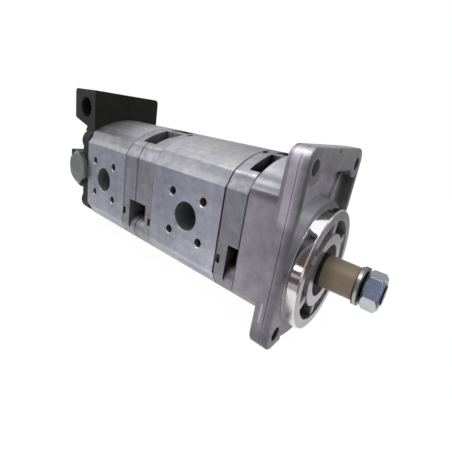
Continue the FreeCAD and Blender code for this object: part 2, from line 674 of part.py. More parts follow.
def crown_shelves(body, start, depth):
    """Shallow pockets with a floor that follows the crown, above and below."""
    sketch = new_sketch(body, "YZ_Plane", start)
    floor = f"({CROWN_RADIUS} - crown_shelf_drop)"
    sink = f"({CROWN_RADIUS} - crown_half_height)"
    rib = "(crown_rib_centre + crown_rib_width / 2)"
    between = "(crown_rib_centre - crown_rib_width / 2)"
    edge = f"({BOLT_ACROSS} + crown_window_edge)"
    reach = "(crown_half_height + 1)"
    for up, direction in ((1, "+"), (-1, "-")):
        def at(across):
            return f"{MIDDLE} {direction} (sqrt({floor} ^ 2 - {across} ^ 2) - {sink})"
        far = f"{MIDDLE} {direction} {reach}"
        for sign, side in (("", 1), ("-", -1)):
            outline(sketch, [
                (f"{sign}{rib}", far),
                (f"{sign}{edge}", far),
                (f"{sign}{edge}", at(edge), floor, side * up),
                (f"{sign}{rib}", at(rib)),
            ])
        outline(sketch, [
            (f"-{between}", far), (between, far), (between, at(between), floor, up),
            (f"-{between}", at(between)),
        ])
    feature(body, "Pocket", sketch, depth, True)


def pry_notches(body, joint, backward, crown=False):
    """Small notches at a joint, in the -Y side flat and where asked for in the crown."""
    low, high = f"{joint} - notch_width", joint
    if not backward:
        low, high = joint, f"{joint} + notch_width"
    sketch = new_sketch(body, "XZ_Plane", "body_half_width")
    rectangle(sketch, low, "-notch_height / 2 - notch_drop", high, "notch_height / 2 - notch_drop")
    feature(body, "Pocket", sketch, "notch_depth")
    if crown:
        sketch = new_sketch(body, "XY_Plane", "crown_notch_level")
        rectangle(sketch, low, "-crown_notch_offset - notch_height / 2", high,
                  "-crown_notch_offset + notch_height / 2")
        feature(body, "Pocket", sketch, "crown_half_height", True)


# The castings

def make_front_flange():
    body = new_body("front_flange")
    sketch = new_sketch(body, "YZ_Plane", "0")
    corner = "flange_corner_radius"
    wide, inner = "flange_half_width", f"(flange_half_width - {corner})"
    belly = "(belly_drop - flange_bottom + ear_step)"
    belly_arc = (f"(ear_inner_width ^ 2 + {belly} ^ 2) / (2 * {belly})", 1)
    outline(sketch, [
        (wide, f"-(flange_bottom - {corner})"),
        (wide, f"flange_top - {corner}", corner, 1),
        (inner, "flange_top"),
        (f"-{inner}", "flange_top", corner, 1),
        (f"-{wide}", f"flange_top - {corner}"),
        (f"-{wide}", f"-(flange_bottom - {corner})", corner, 1),
        (f"-{inner}", "-flange_bottom"),
        ("-ear_inner_width", "-flange_bottom"),
        ("-ear_inner_width", "-(flange_bottom - ear_step)", *belly_arc),
        ("ear_inner_width", "-(flange_bottom - ear_step)"),
        ("ear_inner_width", "-flange_bottom"),
        (inner, "-flange_bottom", corner, 1),
    ])
    feature(body, "Pad", sketch, "flange_thickness", True)
    back = -value("flange_thickness")
    soften(body, "Chamfer", "flange_back_edge",
           lambda edge: all(abs(vertex.X - back) < SMALL for vertex in edge.Vertexes))
    soften(body, "Fillet", "flange_edge_round",
           lambda edge: all(abs(vertex.X) < SMALL for vertex in edge.Vertexes))

    sketch = new_sketch(body, "YZ_Plane", "-flange_thickness")
    casting_outline(sketch, "cover_flat_half_height")
    feature(body, "Pad", sketch, "front_cover_length - flange_thickness", True)
    round_shoulders(body, "cover_flat_half_height", "cast_round")

    rim, boss = "recess_half_width", "hole_boss_radius"
    boss_across = "flange_hole_half_width"
    boss_level = "(flange_hole_spacing - flange_hole_drop)"
    hub_rise = "sqrt(hub_face_radius ^ 2 - recess_half_width ^ 2)"
    rim_level = f"{boss_level} - sqrt({boss} ^ 2 - ({rim} - {boss_across}) ^ 2)"
    top_across = f"({boss_across} - sqrt({boss} ^ 2 - ({boss_level} - recess_top) ^ 2))"
    sketch = new_sketch(body, "YZ_Plane", "0")
    outline(sketch, [
        (rim, hub_rise),
        (rim, rim_level, boss, -1),
        (top_across, "recess_top"),
        (f"-{top_across}", "recess_top", boss, -1),
        (f"-{rim}", rim_level),
        (f"-{rim}", hub_rise, "hub_face_radius", -1),
    ])
    feature(body, "Pocket", sketch, "recess_shelf_depth")
    sketch = new_sketch(body, "YZ_Plane", "-recess_shelf_depth")
    low, spread = "(pilot_radius * cos(recess_spread))", "tan(recess_spread)"
    outline(sketch, [
        (f"-{low} * {spread}", low), (f"{low} * {spread}", low),
        (f"recess_top * {spread}", "recess_top"), (f"-recess_top * {spread}", "recess_top"),
    ])
    feature(body, "Pocket", sketch, "recess_depth - recess_shelf_depth")
    sketch = new_sketch(body, "YZ_Plane", "0")
    rectangle(sketch, "-rim_notch_left", "flange_top - rim_notch_height", "-rim_notch_right", "flange_top + 1")
    feature(body, "Pocket", sketch, "rim_notch_depth")

    sketch = new_sketch(body, "XZ_Plane", "0")
    outline(sketch, [
        ("-recess_depth", "0"), ("-recess_depth", "hub_root_radius"), ("0", "hub_face_radius"),
        ("0", "pilot_radius"), ("pilot_height - pilot_chamfer", "pilot_radius"),
        ("pilot_height", "pilot_radius - pilot_chamfer"), ("pilot_height", "0"),
    ])
    turned(body, "Revolution", sketch)

    sketch = new_sketch(body, "YZ_Plane", "0")
    rectangle(sketch, "-ear_inner_width", "-(hub_root_radius + 2)", "ear_inner_width",
              "-(flange_bottom - belly_flat_rise)")
    feature(body, "Pocket", sketch, "flange_thickness")

    sketch = new_sketch(body, "YZ_Plane", "pilot_height")
    circles(sketch, [DRIVE_AXIS], "seal_ring_outer")
    circles(sketch, [DRIVE_AXIS], "pilot_ring_inner")
    feature(body, "Pocket", sketch, "pilot_pocket_depth")

    sketch = new_sketch(body, "YZ_Plane", "pilot_height - spoke_setback")
    rectangle(sketch, "-spoke_width / 2", "seal_ring_outer - 1", "spoke_width / 2", "pilot_ring_inner + 1")
    spoke = feature(body, "Pad", sketch, "pilot_pocket_depth - spoke_setback", True)
    around_shaft(body, spoke, "spoke_count")

    drill(body, "pilot_height", [DRIVE_AXIS], "seal_radius", "seal_setback + seal_length")
    drill(body, SEAL_BACK, [DRIVE_AXIS], COVER_BUSH_OUTER, f"{SEAL_BACK} - {COVER_JOINT}")
    clip_front = f"({SEAL_FRONT} + circlip_thickness + slip_fit)"
    drill(body, clip_front, [DRIVE_AXIS], "seal_radius + circlip_groove", "circlip_thickness + slip_fit")
    drill(body, "0", FLANGE_HOLES, "flange_hole_radius", "flange_thickness")
    drill(body, COVER_JOINT, BOLT_PLACES, "bolt_radius + slip_fit",
          "front_cover_length - bolt_tip_depth + bolt_tip_gap", True)
    dowel_holes(body, COVER_JOINT, True)
    return body


def make_front_bearing_cover():
    body = stack_part("front_bearing_cover", COVER_JOINT, "bearing_cover_length", "cast_round")
    drill(body, COVER_JOINT, [DRIVE_AXIS], PASSAGE_RADIUS, "bearing_cover_length")
    side_windows(body, COVER_JOINT, "bearing_cover_window")
    crown_windows(body, COVER_JOINT, "bearing_cover_window")
    passage_seal_groove(body, COVER_JOINT)
    joint_seal_groove(body, BEARING_JOINT, True)
    dowel_holes(body, COVER_JOINT)
    dowel_holes(body, BEARING_JOINT, True)
    pry_notches(body, BEARING_JOINT, False, True)
    return body


def make_pump_body(label, front, back, length, port):
    """An extruded body with two gear bores and a port on each side."""
    body = stack_part(label, front, length, "extruded_round")
    drill(body, front, [DRIVE_AXIS], CHAMBER_RADIUS, length)
    drill(body, front, [DRIVEN_AXIS], CHAMBER_RADIUS, length)
    sides = ((-1, "suction_port_radius", "suction_bolt_radius"),
             (1, "pressure_port_radius", "pressure_bolt_radius"))
    for side, port_radius, bolt_circle in sides:
        reach = f"{bolt_circle} * cos(45)"
        screws = [(f"{port} {a} {reach}", f"{MIDDLE} {b} {reach}") for a in "+-" for b in "+-"]
        mouth = [(port, MIDDLE)]
        drill_side(body, "body_half_width", mouth, port_radius, "body_half_width - port_floor", side)
        drill_side(body, "body_half_width", mouth, f"{port_radius} - port_throat_step",
                   "body_half_width - port_throat_end", side)
        drill_side(body, "body_half_width", screws, "port_screw_radius", "port_screw_depth", side)
        soften(body, "Chamfer", "port_edge_chamfer",
               round_edge("body_half_width", side, [port_radius, "port_screw_radius"]))
    punch = [(f"{front} - punch_offset", "punch_level")]
    drill_side(body, "body_half_width", punch, "punch_radius", "punch_depth")
    dowel_holes(body, front)
    dowel_holes(body, back, True)
    return body


def make_front_body():
    body = make_pump_body("front_pump_body", BEARING_JOINT, FRONT_BODY_END, "front_body_length", FRONT_PORT)
    low, high = f"{MIDDLE} - side_flat_half_height", f"{MIDDLE} + side_flat_half_height"
    for side in (-1, 1):
        sketch = new_sketch(body, "XZ_Plane", "body_half_width" if side < 0 else "-body_half_width")
        rectangle(sketch, f"{BEARING_JOINT} - joint_gap_width", low, BEARING_JOINT, high)
        feature(body, "Pocket", sketch, "joint_gap_depth", side > 0)
    return body


def make_rear_body():
    """The rear body, with the groove that feeds the relief valve."""
    body = make_pump_body("rear_pump_body", REAR_BODY_START, REAR_BODY_END, "rear_body_length", REAR_PORT)
    sketch = new_sketch(body, "YZ_Plane", REAR_BODY_END)
    rectangle(sketch, "gallery_groove_start", "plug_level - gallery_radius",
              "gallery_side", "plug_level + gallery_radius")
    feature(body, "Pocket", sketch, "gallery_radius", True)
    return body


def make_front_rear_plate():
    body = stack_part("front_pump_rear_plate", FRONT_BODY_END, "front_rear_plate_length", "cast_round")
    drill(body, FRONT_BODY_END, [DRIVE_AXIS], COUPLING_PASSAGE, "front_rear_plate_length")
    side_windows(body, STAGE_JOINT, "front_rear_plate_window", True)
    crown_windows(body, STAGE_JOINT, "crown_shelf_step", True)
    crown_shelves(body, STAGE_JOINT, "front_rear_plate_window")
    joint_seal_groove(body, FRONT_BODY_END)
    dowel_holes(body, FRONT_BODY_END)
    dowel_holes(body, STAGE_JOINT, True)
    pry_notches(body, FRONT_BODY_END, True, True)
    return body


def make_rear_front_plate():
    body = stack_part("rear_pump_front_plate", STAGE_JOINT, "rear_front_plate_length", "cast_round")
    drill(body, STAGE_JOINT, [DRIVE_AXIS], COUPLING_PASSAGE, "rear_front_plate_length")
    side_windows(body, STAGE_JOINT, "rear_front_plate_window")
    crown_windows(body, STAGE_JOINT, "rear_front_plate_window")
    passage_seal_groove(body, STAGE_JOINT)
    joint_seal_groove(body, REAR_BODY_START, True)
    dowel_holes(body, STAGE_JOINT)
    dowel_holes(body, REAR_BODY_START, True)
    pry_notches(body, REAR_BODY_START, False)
    return body


def make_rear_cover():
    body = new_body("rear_cover")
    sketch = new_sketch(body, "YZ_Plane", REAR_BODY_END)
    casting_outline(sketch, "side_flat_half_height", "rear_plate_inset")
    feature(body, "Pad", sketch, "rear_plate_length", True)

    for place in BOLT_PLACES:
        sketch = new_sketch(body, "YZ_Plane", REAR_BODY_END)
        circles(sketch, [place], "bolt_lobe_radius")
        feature(body, "Pad", sketch, "bolt_lobe_length", True)

    sketch = new_sketch(body, "YZ_Plane", REAR_BODY_END)
    side, heel = "(body_half_width - housing_inset)", "(body_half_width - housing_heel_inset)"
    outline(sketch, [
        (side, "housing_foot"),
        (side, "housing_shoulder"),
        (f"({side} - housing_shoulder_run)", "housing_top"),
        (f"-({side} - housing_shoulder_run)", "housing_top"),
        (f"-{side}", "housing_shoulder"),
        (f"-{side}", "housing_foot", "housing_corner_radius", 1),
        (f"-{heel}", "housing_heel", "housing_belly_radius", 1),
        (heel, "housing_heel", "housing_corner_radius", 1),
    ])
    feature(body, "Pad", sketch, "rear_cover_depth", True)

    sketch = new_sketch(body, "XZ_Plane", BLOCK_LEFT)
    outline(sketch, [
        (REAR_BODY_END, "block_foot"),
        (REAR_BODY_END, "block_top"),
        (f"{REAR_FACE} + block_round", "block_top", "block_round", 1),
        (REAR_FACE, "block_top - block_round"),
        (REAR_FACE, "block_heel_level + block_heel_edge"),
        (f"{REAR_FACE} + block_heel_edge", "block_heel_level"),
        (f"{REAR_BODY_END} - block_knee", "block_knee_level"),
    ])
    feature(body, "Pad", sketch, f"{BLOCK_LEFT} + {BLOCK_RIGHT}", True)
    soften(body, "Fillet", "block_round", between_points((None, value(BLOCK_RIGHT), value("block_top"))))

    sketch = new_sketch(body, "XZ_Plane", PLUG_FACE)
    centre, radius = PLUG_STATION, "plug_boss_radius"
    front_drop = f"plug_level - sqrt({radius} ^ 2 - plug_station ^ 2)"
    outline(sketch, [
        (REAR_BODY_END, "plug_boss_top"),
        (f"{centre} - {radius}", "plug_boss_top"),
        (f"{centre} - {radius}", "plug_level", radius, 1),
        (centre, f"plug_level - {radius}", radius, 1),
        (REAR_BODY_END, front_drop),
    ])
    feature(body, "Pad", sketch, PLUG_FACE, True)

    drill(body, REAR_BODY_END, BOLT_PLACES, "bolt_hole_radius", "bolt_lobe_length")
    drill(body, REAR_FACE, BOLT_PLACES, "bolt_sink_radius",
          "rear_cover_depth - bolt_lobe_length + bolt_sink_depth", True)
    dowel_holes(body, REAR_BODY_END)
    joint_seal_groove(body, REAR_BODY_END)

    plug = [(PLUG_STATION, "plug_level")]
    drill_side(body, PLUG_FACE, plug, "plug_ring_radius + slip_fit", "plug_sink_depth")
    drill_side(body, PLUG_FACE, plug, "plug_thread_radius + slip_fit", "plug_thread_length + 1")
    drill_side(body, PLUG_FACE, plug, "valve_bore_radius", f"{PLUG_FACE} + valve_seat_station")
    drill_side(body, "-valve_seat_station", plug, "valve_seat_radius + slip_fit", "valve_seat_length")
    seat_end = "(valve_seat_station + valve_seat_length)"
    drill_side(body, f"-{seat_end}", plug, "gallery_radius", f"gallery_side + gallery_radius - {seat_end}")
    drill(body, REAR_BODY_END, [("gallery_side", "plug_level")], "gallery_radius", "plug_station")
    port = [(f"{REAR_BODY_END} - block_port_station", "block_port_level")]
    drill_side(body, BLOCK_LEFT, port, "block_port_radius", "block_port_depth")
    drill_side(body, BLOCK_LEFT, port, "passage_radius", f"{BLOCK_LEFT} + passage_end")
    sketch = new_sketch(body, "XY_Plane", "block_port_level")
    circles(sketch, [(PLUG_STATION, "passage_end")], "passage_radius")
    feature(body, "Pocket", sketch, "block_port_level - plug_level")
    soften(body, "Chamfer", "port_edge_chamfer", round_edge(BLOCK_LEFT, -1, ["block_port_radius"]))
    return body


# Bearing blocks and bushes

def make_bearing_block(label, front, length):
    """A figure-eight block that fills the chamber between gear and cover."""
    body = new_body(label)
    for place in (DRIVE_AXIS, DRIVEN_AXIS):
        sketch = new_sketch(body, "YZ_Plane", front)
        circles(sketch, [place], f"{CHAMBER_RADIUS} - slip_fit")
        feature(body, "Pad", sketch, length, True)
    drill(body, front, [DRIVE_AXIS], f"{BUSH_OUTER} + slip_fit", length)
    drill(body, front, [DRIVEN_AXIS], f"{BUSH_OUTER} + slip_fit", length)
    return body


BLOCKS = {
    "front_stage_front_block": (BEARING_JOINT, f"{BEARING_JOINT} - {FRONT_GEAR_START}", False),
    "front_stage_rear_block": (FRONT_GEAR_END, f"{FRONT_GEAR_END} - {FRONT_BODY_END}", True),
    "rear_stage_front_block": (REAR_BODY_START, f"{REAR_BODY_START} - {REAR_GEAR_START}", False),
    "rear_stage_rear_block": (REAR_GEAR_END, f"{REAR_GEAR_END} - {REAR_BODY_END}", True),
}


def make_journal_bushes():
    bushes = []
    for label, (front, length, gear_in_front) in BLOCKS.items():
        for place in (DRIVE_AXIS, DRIVEN_AXIS):
            start = f"{front} - bush_length" if gear_in_front else f"{front} - ({length})"
            bushes.append(tube("bush", start, "bush_length", BUSH_OUTER,
                               "journal_radius + running_clearance", place))
    return joined("journal_bushes", "Compound", bushes)


# Gears and shafts

def gear_teeth(name, start, width, place, first_tooth):
    """A ring of involute teeth. Each flank is two arcs through five points of the involute."""
    teeth = int(round(value("gear_teeth")))
    pitch = value(MIDDLE)
    base = pitch * math.cos(math.radians(value("pressure_angle")))
    tip, root = value("gear_tip_radius"), value("gear_root_radius")
    quarter = math.pi / (2 * teeth) - value("gear_backlash") / (4 * pitch)

    def involute(radius):
        angle = math.acos(min(base / radius, 1))
        return math.tan(angle) - angle

    def point(radius, angle):
        return Vector(value(start), value(place[0]) + radius * math.cos(angle),
                      value(place[1]) + radius * math.sin(angle))

    flank = [base + (tip - base) * step / 4 for step in range(5)]
    spread = [quarter + involute(pitch) - involute(radius) for radius in flank]
    edges = []
    for tooth in range(teeth):
        middle = math.radians(first_tooth) + 2 * math.pi * tooth / teeth
        rising = [point(radius, middle - angle) for radius, angle in zip(flank, spread)]
        falling = [point(radius, middle + angle) for radius, angle in zip(flank, spread)][::-1]
        foot = point(root, middle - spread[0])
        end_foot = point(root, middle + spread[0])
        next_foot = point(root, middle + 2 * math.pi / teeth - spread[0])
        edges += [
            Part.LineSegment(foot, rising[0]),
            Part.Arc(rising[0], rising[1], rising[2]),
            Part.Arc(rising[2], rising[3], rising[4]),
            Part.Arc(rising[4], point(tip, middle), falling[0]),
            Part.Arc(falling[0], falling[1], falling[2]),
            Part.Arc(falling[2], falling[3], falling[4]),
            Part.LineSegment(falling[4], end_foot),
            Part.Arc(end_foot, point(root, middle + math.pi / teeth), next_foot),
        ]
    face = Part.Face(Part.Wire([edge.toShape() for edge in edges]))
    ring = doc.addObject("Part::Feature", name)
    ring.Shape = face.extrude(Vector(value(width), 0, 0))
    return ring


def spline_end(body, station, forward):
    """Straight-sided splines on the end of a shaft, running backwards unless forward."""
    sketch = new_sketch(body, "YZ_Plane", station)
    rectangle(sketch, "-spline_width / 2", "0", "spline_width / 2", "spline_major_radius")
    tooth = feature(body, "Pad", sketch, "spline_length", not forward)
    around_shaft(body, tooth, "spline_count")


def make_drive_shaft():
    body = new_body("drive_shaft_turned")
    sketch = new_sketch(body, "XZ_Plane", "0")
    rear_end = f"{FRONT_BODY_END} - 1"
    taper_end = "(taper_start + taper_length)"
    small = "(taper_radius - taper_slope * taper_length)"
    outline(sketch, [
        (rear_end, "0"), (rear_end, "journal_radius"), (BEARING_JOINT, "journal_radius"),
        (BEARING_JOINT, "shaft_radius"), ("shaft_shoulder", "shaft_radius"),
        ("shaft_shoulder", "taper_radius"), ("taper_start", "taper_radius"),
        (taper_end, small), (taper_end, "thread_radius"),
        ("thread_end - thread_chamfer", "thread_radius"),
        ("thread_end", "thread_radius - thread_chamfer"), ("thread_end", "0"),
    ])
    turned(body, "Revolution", sketch)
    sketch = new_sketch(body, "YZ_Plane", rear_end)
    circles(sketch, [DRIVE_AXIS], "spline_minor_radius")
    feature(body, "Pad", sketch, "spline_length", True)
    spline_end(body, rear_end, False)
    teeth = gear_teeth("front_drive_teeth", f"{FRONT_GEAR_END} + gear_end_clearance",
                       "front_gear_width - 2 * gear_end_clearance", DRIVE_AXIS, 90)
    whole = joined("drive_shaft_whole", "MultiFuse", [body, teeth])
    return cut("drive_shaft", whole, key_disc("key_slot", "slip_fit"))


def key_disc(name, extra):
    """The disc segment of a woodruff key, or with a clearance its slot."""
    level = "(key_top_radius - key_height + key_radius)"
    disc = cylinder(name + "_disc", ("key_station", f"key_width / 2 + {extra}", level),
                    f"key_radius + {extra}", f"key_width + 2 * {extra}", ALONG_MINUS_Y)
    block = box(name + "_block",
                ("key_station - 2 * key_radius", "-key_width", f"key_top_radius - 2 * key_radius + {extra}"),
                ("4 * key_radius", "2 * key_width", "2 * key_radius"))
    return joined(name, "MultiCommon", [disc, block])


def make_gear_shaft(label, front, rear, gear_end, width, place, first_tooth, splined=False):
    """A gear in one piece with its journals."""
    start = f"({rear} + journal_end_gap)"
    length = f"{front} - {rear} - 2 * journal_end_gap"
    journal = tube(label + "_journal", start, length, "journal_radius", None, place)
    teeth = gear_teeth(label + "_teeth", f"{gear_end} + gear_end_clearance",
                       f"{width} - 2 * gear_end_clearance", place, first_tooth)
    solids = [journal, teeth]
    if splined:
        end = new_body(label + "_end")
        sketch = new_sketch(end, "YZ_Plane", f"{front} - journal_end_gap")
        circles(sketch, [DRIVE_AXIS], "spline_minor_radius")
        feature(end, "Pad", sketch, "spline_length")
        spline_end(end, f"{front} - journal_end_gap", True)
        solids.append(end)
    return joined(label, "MultiFuse", solids)


def make_drive_coupling():
    body = new_body("drive_coupling")
    centre = f"(({FRONT_BODY_END} + {REAR_BODY_START}) / 2)"
    front = f"{centre} + coupling_length / 2"
    sketch = new_sketch(body, "YZ_Plane", front)
    circles(sketch, [DRIVE_AXIS], "coupling_radius")
    feature(body, "Pad", sketch, "coupling_length", True)
    drill(body, front, [DRIVE_AXIS], "spline_minor_radius + slip_fit", "coupling_length")
    sketch = new_sketch(body, "YZ_Plane", front)
    half = "(spline_width / 2 + slip_fit)"
    rectangle(sketch, f"-{half}", "0", half, "spline_major_radius + slip_fit")
    slot = feature(body, "Pocket", sketch, "coupling_length")
    around_shaft(body, slot, "spline_count")
    return body


# What sits on the shaft's end

def make_taper_sleeve():
    body = new_body("taper_sleeve")
    sketch = new_sketch(body, "XZ_Plane", "0")
    outline(sketch, [
        ("shaft_shoulder", "sleeve_outer_rear - sleeve_wall"), ("shaft_shoulder", "sleeve_outer_rear"),
        ("sleeve_end", "sleeve_outer_front"), ("sleeve_end", "sleeve_outer_front - sleeve_wall"),
    ])
    turned(body, "Revolution", sketch)
    return body


def make_spring_washer():
    """One turn of square wire, open at the slit and risen by its pitch."""
    body = new_body("spring_washer")
    sketch = new_sketch(body, "XZ_Plane", "0")
    rectangle(sketch, "sleeve_end + slip_fit", "washer_inner",
              "sleeve_end + slip_fit + washer_thickness", "washer_outer")
    coil = body.newObject("PartDesign::AdditiveHelix", "coil")
    coil.Profile = sketch
    coil.ReferenceAxis = (sketch, ["H_Axis"])
    coil.Mode = "pitch-turns-angle"
    bind(coil, "Pitch", "washer_pitch")
    bind(coil, "Turns", "1 - washer_slit / 360")
    return body


NUT_START = "(sleeve_end + washer_thickness + washer_pitch + 2 * slip_fit)"


def chamfer_corners(body, across_flats, ends):
    """Turns off the corners of a hexagon on the drive axis at the given ends."""
    flat = f"(0.98 * {across_flats} / 2)"
    corner = f"(1.05 * {across_flats} / 2 / cos(30))"
    for end, inwards in ends:
        sketch = new_sketch(body, "XZ_Plane", "0")
        outline(sketch, [(end, flat), (end, corner), (f"{end} {inwards} hex_chamfer", corner)])
        turned(body, "Groove", sketch)


def make_shaft_nut():
    body = new_body("shaft_nut")
    sketch = new_sketch(body, "YZ_Plane", NUT_START)
    hexagon(sketch, "nut_flats", DRIVE_AXIS, "150 - nut_angle")
    feature(body, "Pad", sketch, "nut_height")
    drill(body, f"{NUT_START} + nut_height", [DRIVE_AXIS], "thread_radius + slip_fit", "nut_height")
    chamfer_corners(body, "nut_flats", [(NUT_START, "+"), (f"({NUT_START} + nut_height)", "-")])
    return body


# Seals, pins and fasteners

def make_shaft_seal():
    body = new_body("shaft_seal")
    sketch = new_sketch(body, "XZ_Plane", "0")
    lip = "(shaft_radius + running_clearance)"
    outline(sketch, [
        (SEAL_BACK, f"{lip} + seal_lip_inner_step"), (SEAL_BACK, "seal_radius - slip_fit"),
        (SEAL_FRONT, "seal_radius - slip_fit"), (SEAL_FRONT, f"{lip} + seal_lip_mouth"),
        (f"{SEAL_FRONT} - seal_lip_station", lip),
        (f"{SEAL_FRONT} - seal_lip_station - seal_lip_thickness", f"{lip} + seal_lip_heel"),
        (f"{SEAL_FRONT} - seal_wall", f"{lip} + seal_lip_inner_step"),
    ])
    turned(body, "Revolution", sketch)
    return body


def make_seal_circlip():
    body = new_body("seal_circlip")
    sketch = new_sketch(body, "YZ_Plane", SEAL_FRONT)
    outer = "(seal_radius + circlip_groove - slip_fit)"
    circles(sketch, [DRIVE_AXIS], outer)
    circles(sketch, [DRIVE_AXIS], f"{outer} - circlip_width")
    feature(body, "Pad", sketch, "circlip_thickness")
    sketch = new_sketch(body, "YZ_Plane", f"{SEAL_FRONT} + circlip_thickness")
    rectangle(sketch, "-circlip_width", "-(seal_radius + circlip_groove + 1)", "circlip_width",
              f"-({outer} - 2 * circlip_width)")
    feature(body, "Pocket", sketch, "circlip_thickness")
    return body


def make_ring(name, front, draw, inner, outer):
    body = new_body(name)
    sketch = new_sketch(body, "YZ_Plane", front)
    draw(sketch, f"({inner} + slip_fit)")
    draw(sketch, f"({outer} - slip_fit)")
    feature(body, "Pad", sketch, "joint_seal_depth")
    return body


def make_joint_seals():
    starts = [BEARING_JOINT, f"{FRONT_BODY_END} - joint_seal_depth", REAR_BODY_START,
              f"{REAR_BODY_END} - joint_seal_depth"]
    rings = [make_ring("joint_seal", start, stadium, SEAL_INNER, SEAL_OUTER) for start in starts]
    return joined("joint_seals", "Compound", rings)


def passage_ring(sketch, radius):
    circles(sketch, [DRIVE_AXIS], radius)


def make_passage_seals():
    starts = [f"{COVER_JOINT} - joint_seal_depth", f"{STAGE_JOINT} - joint_seal_depth"]
    rings = [make_ring("passage_seal", start, passage_ring, RING_INNER, RING_OUTER) for start in starts]
    return joined("shaft_passage_seals", "Compound", rings)


def make_dowel_pins():
    joints = [COVER_JOINT, BEARING_JOINT, FRONT_BODY_END, STAGE_JOINT, REAR_BODY_START, REAR_BODY_END]
    pins = [tube("dowel", f"{joint} - dowel_half_length", "2 * dowel_half_length", "dowel_radius",
                 None, place) for joint in joints for place in DOWEL_PLACES]
    return joined("dowel_pins", "Compound", pins)


def make_through_bolt(place):
    """A long screw with a low socket head sunk in the rear cover."""
    body = new_body("through_bolt")
    seat = f"({LOBE_BACK} + bolt_sink_depth)"
    sketch = new_sketch(body, "YZ_Plane", seat)
    circles(sketch, [place], "bolt_radius")
    feature(body, "Pad", sketch, f"-bolt_tip_depth - {seat}")
    sketch = new_sketch(body, "YZ_Plane", seat)
    circles(sketch, [place], "bolt_head_radius")
    feature(body, "Pad", sketch, "bolt_head_height", True)
    sketch = new_sketch(body, "YZ_Plane", f"{seat} - bolt_head_height")
    hexagon(sketch, "bolt_socket_flats", place)
    feature(body, "Pocket", sketch, "bolt_socket_depth", True)
    return body


def make_through_bolts():
    return joined("through_bolts", "Compound", [make_through_bolt(place) for place in BOLT_PLACES])


# Plug and relief valve, along the Y axis in the rear cover

PLUG_PLACE = (PLUG_STATION, "plug_level")
PLUG_SEAT = f"({PLUG_FACE} - plug_sink_depth + plug_ring_thickness)"


def plug_axis(sketch, direction=1):
    """The plug's axis as a construction line, for turning about."""
    level = value("plug_level")
    axis = sketch.addGeometry(Part.LineSegment(Vector(0, level, 0), Vector(direction, level, 0)), True)
    fix(sketch, axis, 1, "0", "plug_level")
    fix(sketch, axis, 2, str(direction), "plug_level")


def make_hex_plug():
    body = new_body("hex_plug")
    sketch = new_sketch(body, "XZ_Plane", PLUG_SEAT)
    hexagon(sketch, "plug_flats", PLUG_PLACE, "plug_turn")
    feature(body, "Pad", sketch, "plug_head_height")
    sketch = new_sketch(body, "XZ_Plane", PLUG_SEAT)
    circles(sketch, [PLUG_PLACE], "plug_thread_radius")
    feature(body, "Pad", sketch, "plug_thread_length", True)

    sketch = new_sketch(body, "YZ_Plane", PLUG_STATION)
    head = f"-({PLUG_SEAT} + plug_head_height)"
    flat, corner = "(plug_level + 0.97 * plug_flats / 2)", "(plug_level + 1.05 * plug_flats / 2 / cos(30))"
    outline(sketch, [(head, flat), (head, corner), (f"{head} + hex_chamfer", corner)])
    plug_axis(sketch)
    turned(body, "Groove", sketch, "Axis0")
    return body


def make_plug_seal_ring():
    face = f"-{PLUG_FACE} + plug_sink_depth"
    outside = cylinder("plug_ring_outside", (PLUG_STATION, face, "plug_level"),
                       "plug_ring_radius", "plug_ring_thickness", ALONG_MINUS_Y)
    inside = cylinder("plug_ring_inside", (PLUG_STATION, f"{face} + 1", "plug_level"),
                      "plug_thread_radius + slip_fit", "plug_ring_thickness + 2", ALONG_MINUS_Y)
    return cut("plug_seal_ring", outside, inside)


def turned_along_y(label, steps):
    """A piece turned about the plug axis from (y, radius) steps."""
    body = new_body(label)
    sketch = new_sketch(body, "YZ_Plane", PLUG_STATION)
    points = [(steps[0][0], "plug_level")]
    points += [(station, f"plug_level + {radius}") for station, radius in steps]
    points.append((steps[-1][0], "plug_level"))
    outline(sketch, points)
    plug_axis(sketch)
    turned(body, "Revolution", sketch, "Axis0")
    return body


def make_relief_seat():
    outside = cylinder("seat_outside", (PLUG_STATION, "valve_seat_station + valve_seat_length", "plug_level"),
                       "valve_seat_radius", "valve_seat_length", ALONG_MINUS_Y)
    inside = cylinder("seat_inside", (PLUG_STATION, "valve_seat_station + valve_seat_length + 1",
                                      "plug_level"),
                      "valve_orifice_radius", "valve_seat_length + 2", ALONG_MINUS_Y)
    return cut("relief_seat", outside, inside)


POPPET_FRONT = "(valve_seat_station - poppet_seat_gap)"


def make_relief_poppet():
    guide = "(valve_bore_radius - running_clearance)"
    shoulder = f"{POPPET_FRONT} - poppet_collar"
    back = f"({POPPET_FRONT} - poppet_length)"
    return turned_along_y("relief_poppet", [
        (f"{POPPET_FRONT} + poppet_cone_length", "poppet_tip_radius"),
        (POPPET_FRONT, "valve_orifice_radius - poppet_cone_clearance"),
        (shoulder, "valve_orifice_radius + poppet_collar_step"),
        (shoulder, guide),
        (back, guide),
        (back, "poppet_stem_radius"),
        (f"{back} - poppet_stem_length", "poppet_stem_radius"),
    ])


def make_relief_spring():
    """A round-wire spring between the poppet's shoulder and the plug."""
    body = new_body("relief_spring")
    back = f"({POPPET_FRONT} - poppet_length)"
    plug_end = f"(plug_thread_length - {PLUG_SEAT})"
    wire = "(spring_wire_radius + slip_fit)"
    sketch = new_sketch(body, "YZ_Plane", PLUG_STATION)
    circles(sketch, [(f"{back} - {wire}", "plug_level + spring_radius")], "spring_wire_radius")
    plug_axis(sketch, -1)
    coil = body.newObject("PartDesign::AdditiveHelix", "coil")
    coil.Profile = sketch
    coil.ReferenceAxis = (sketch, ["Axis0"])
    coil.Mode = "height-turns-angle"
    bind(coil, "Height", f"{back} - {plug_end} - 2 * {wire}")
    bind(coil, "Turns", "spring_turns")
    return body


# The whole pump

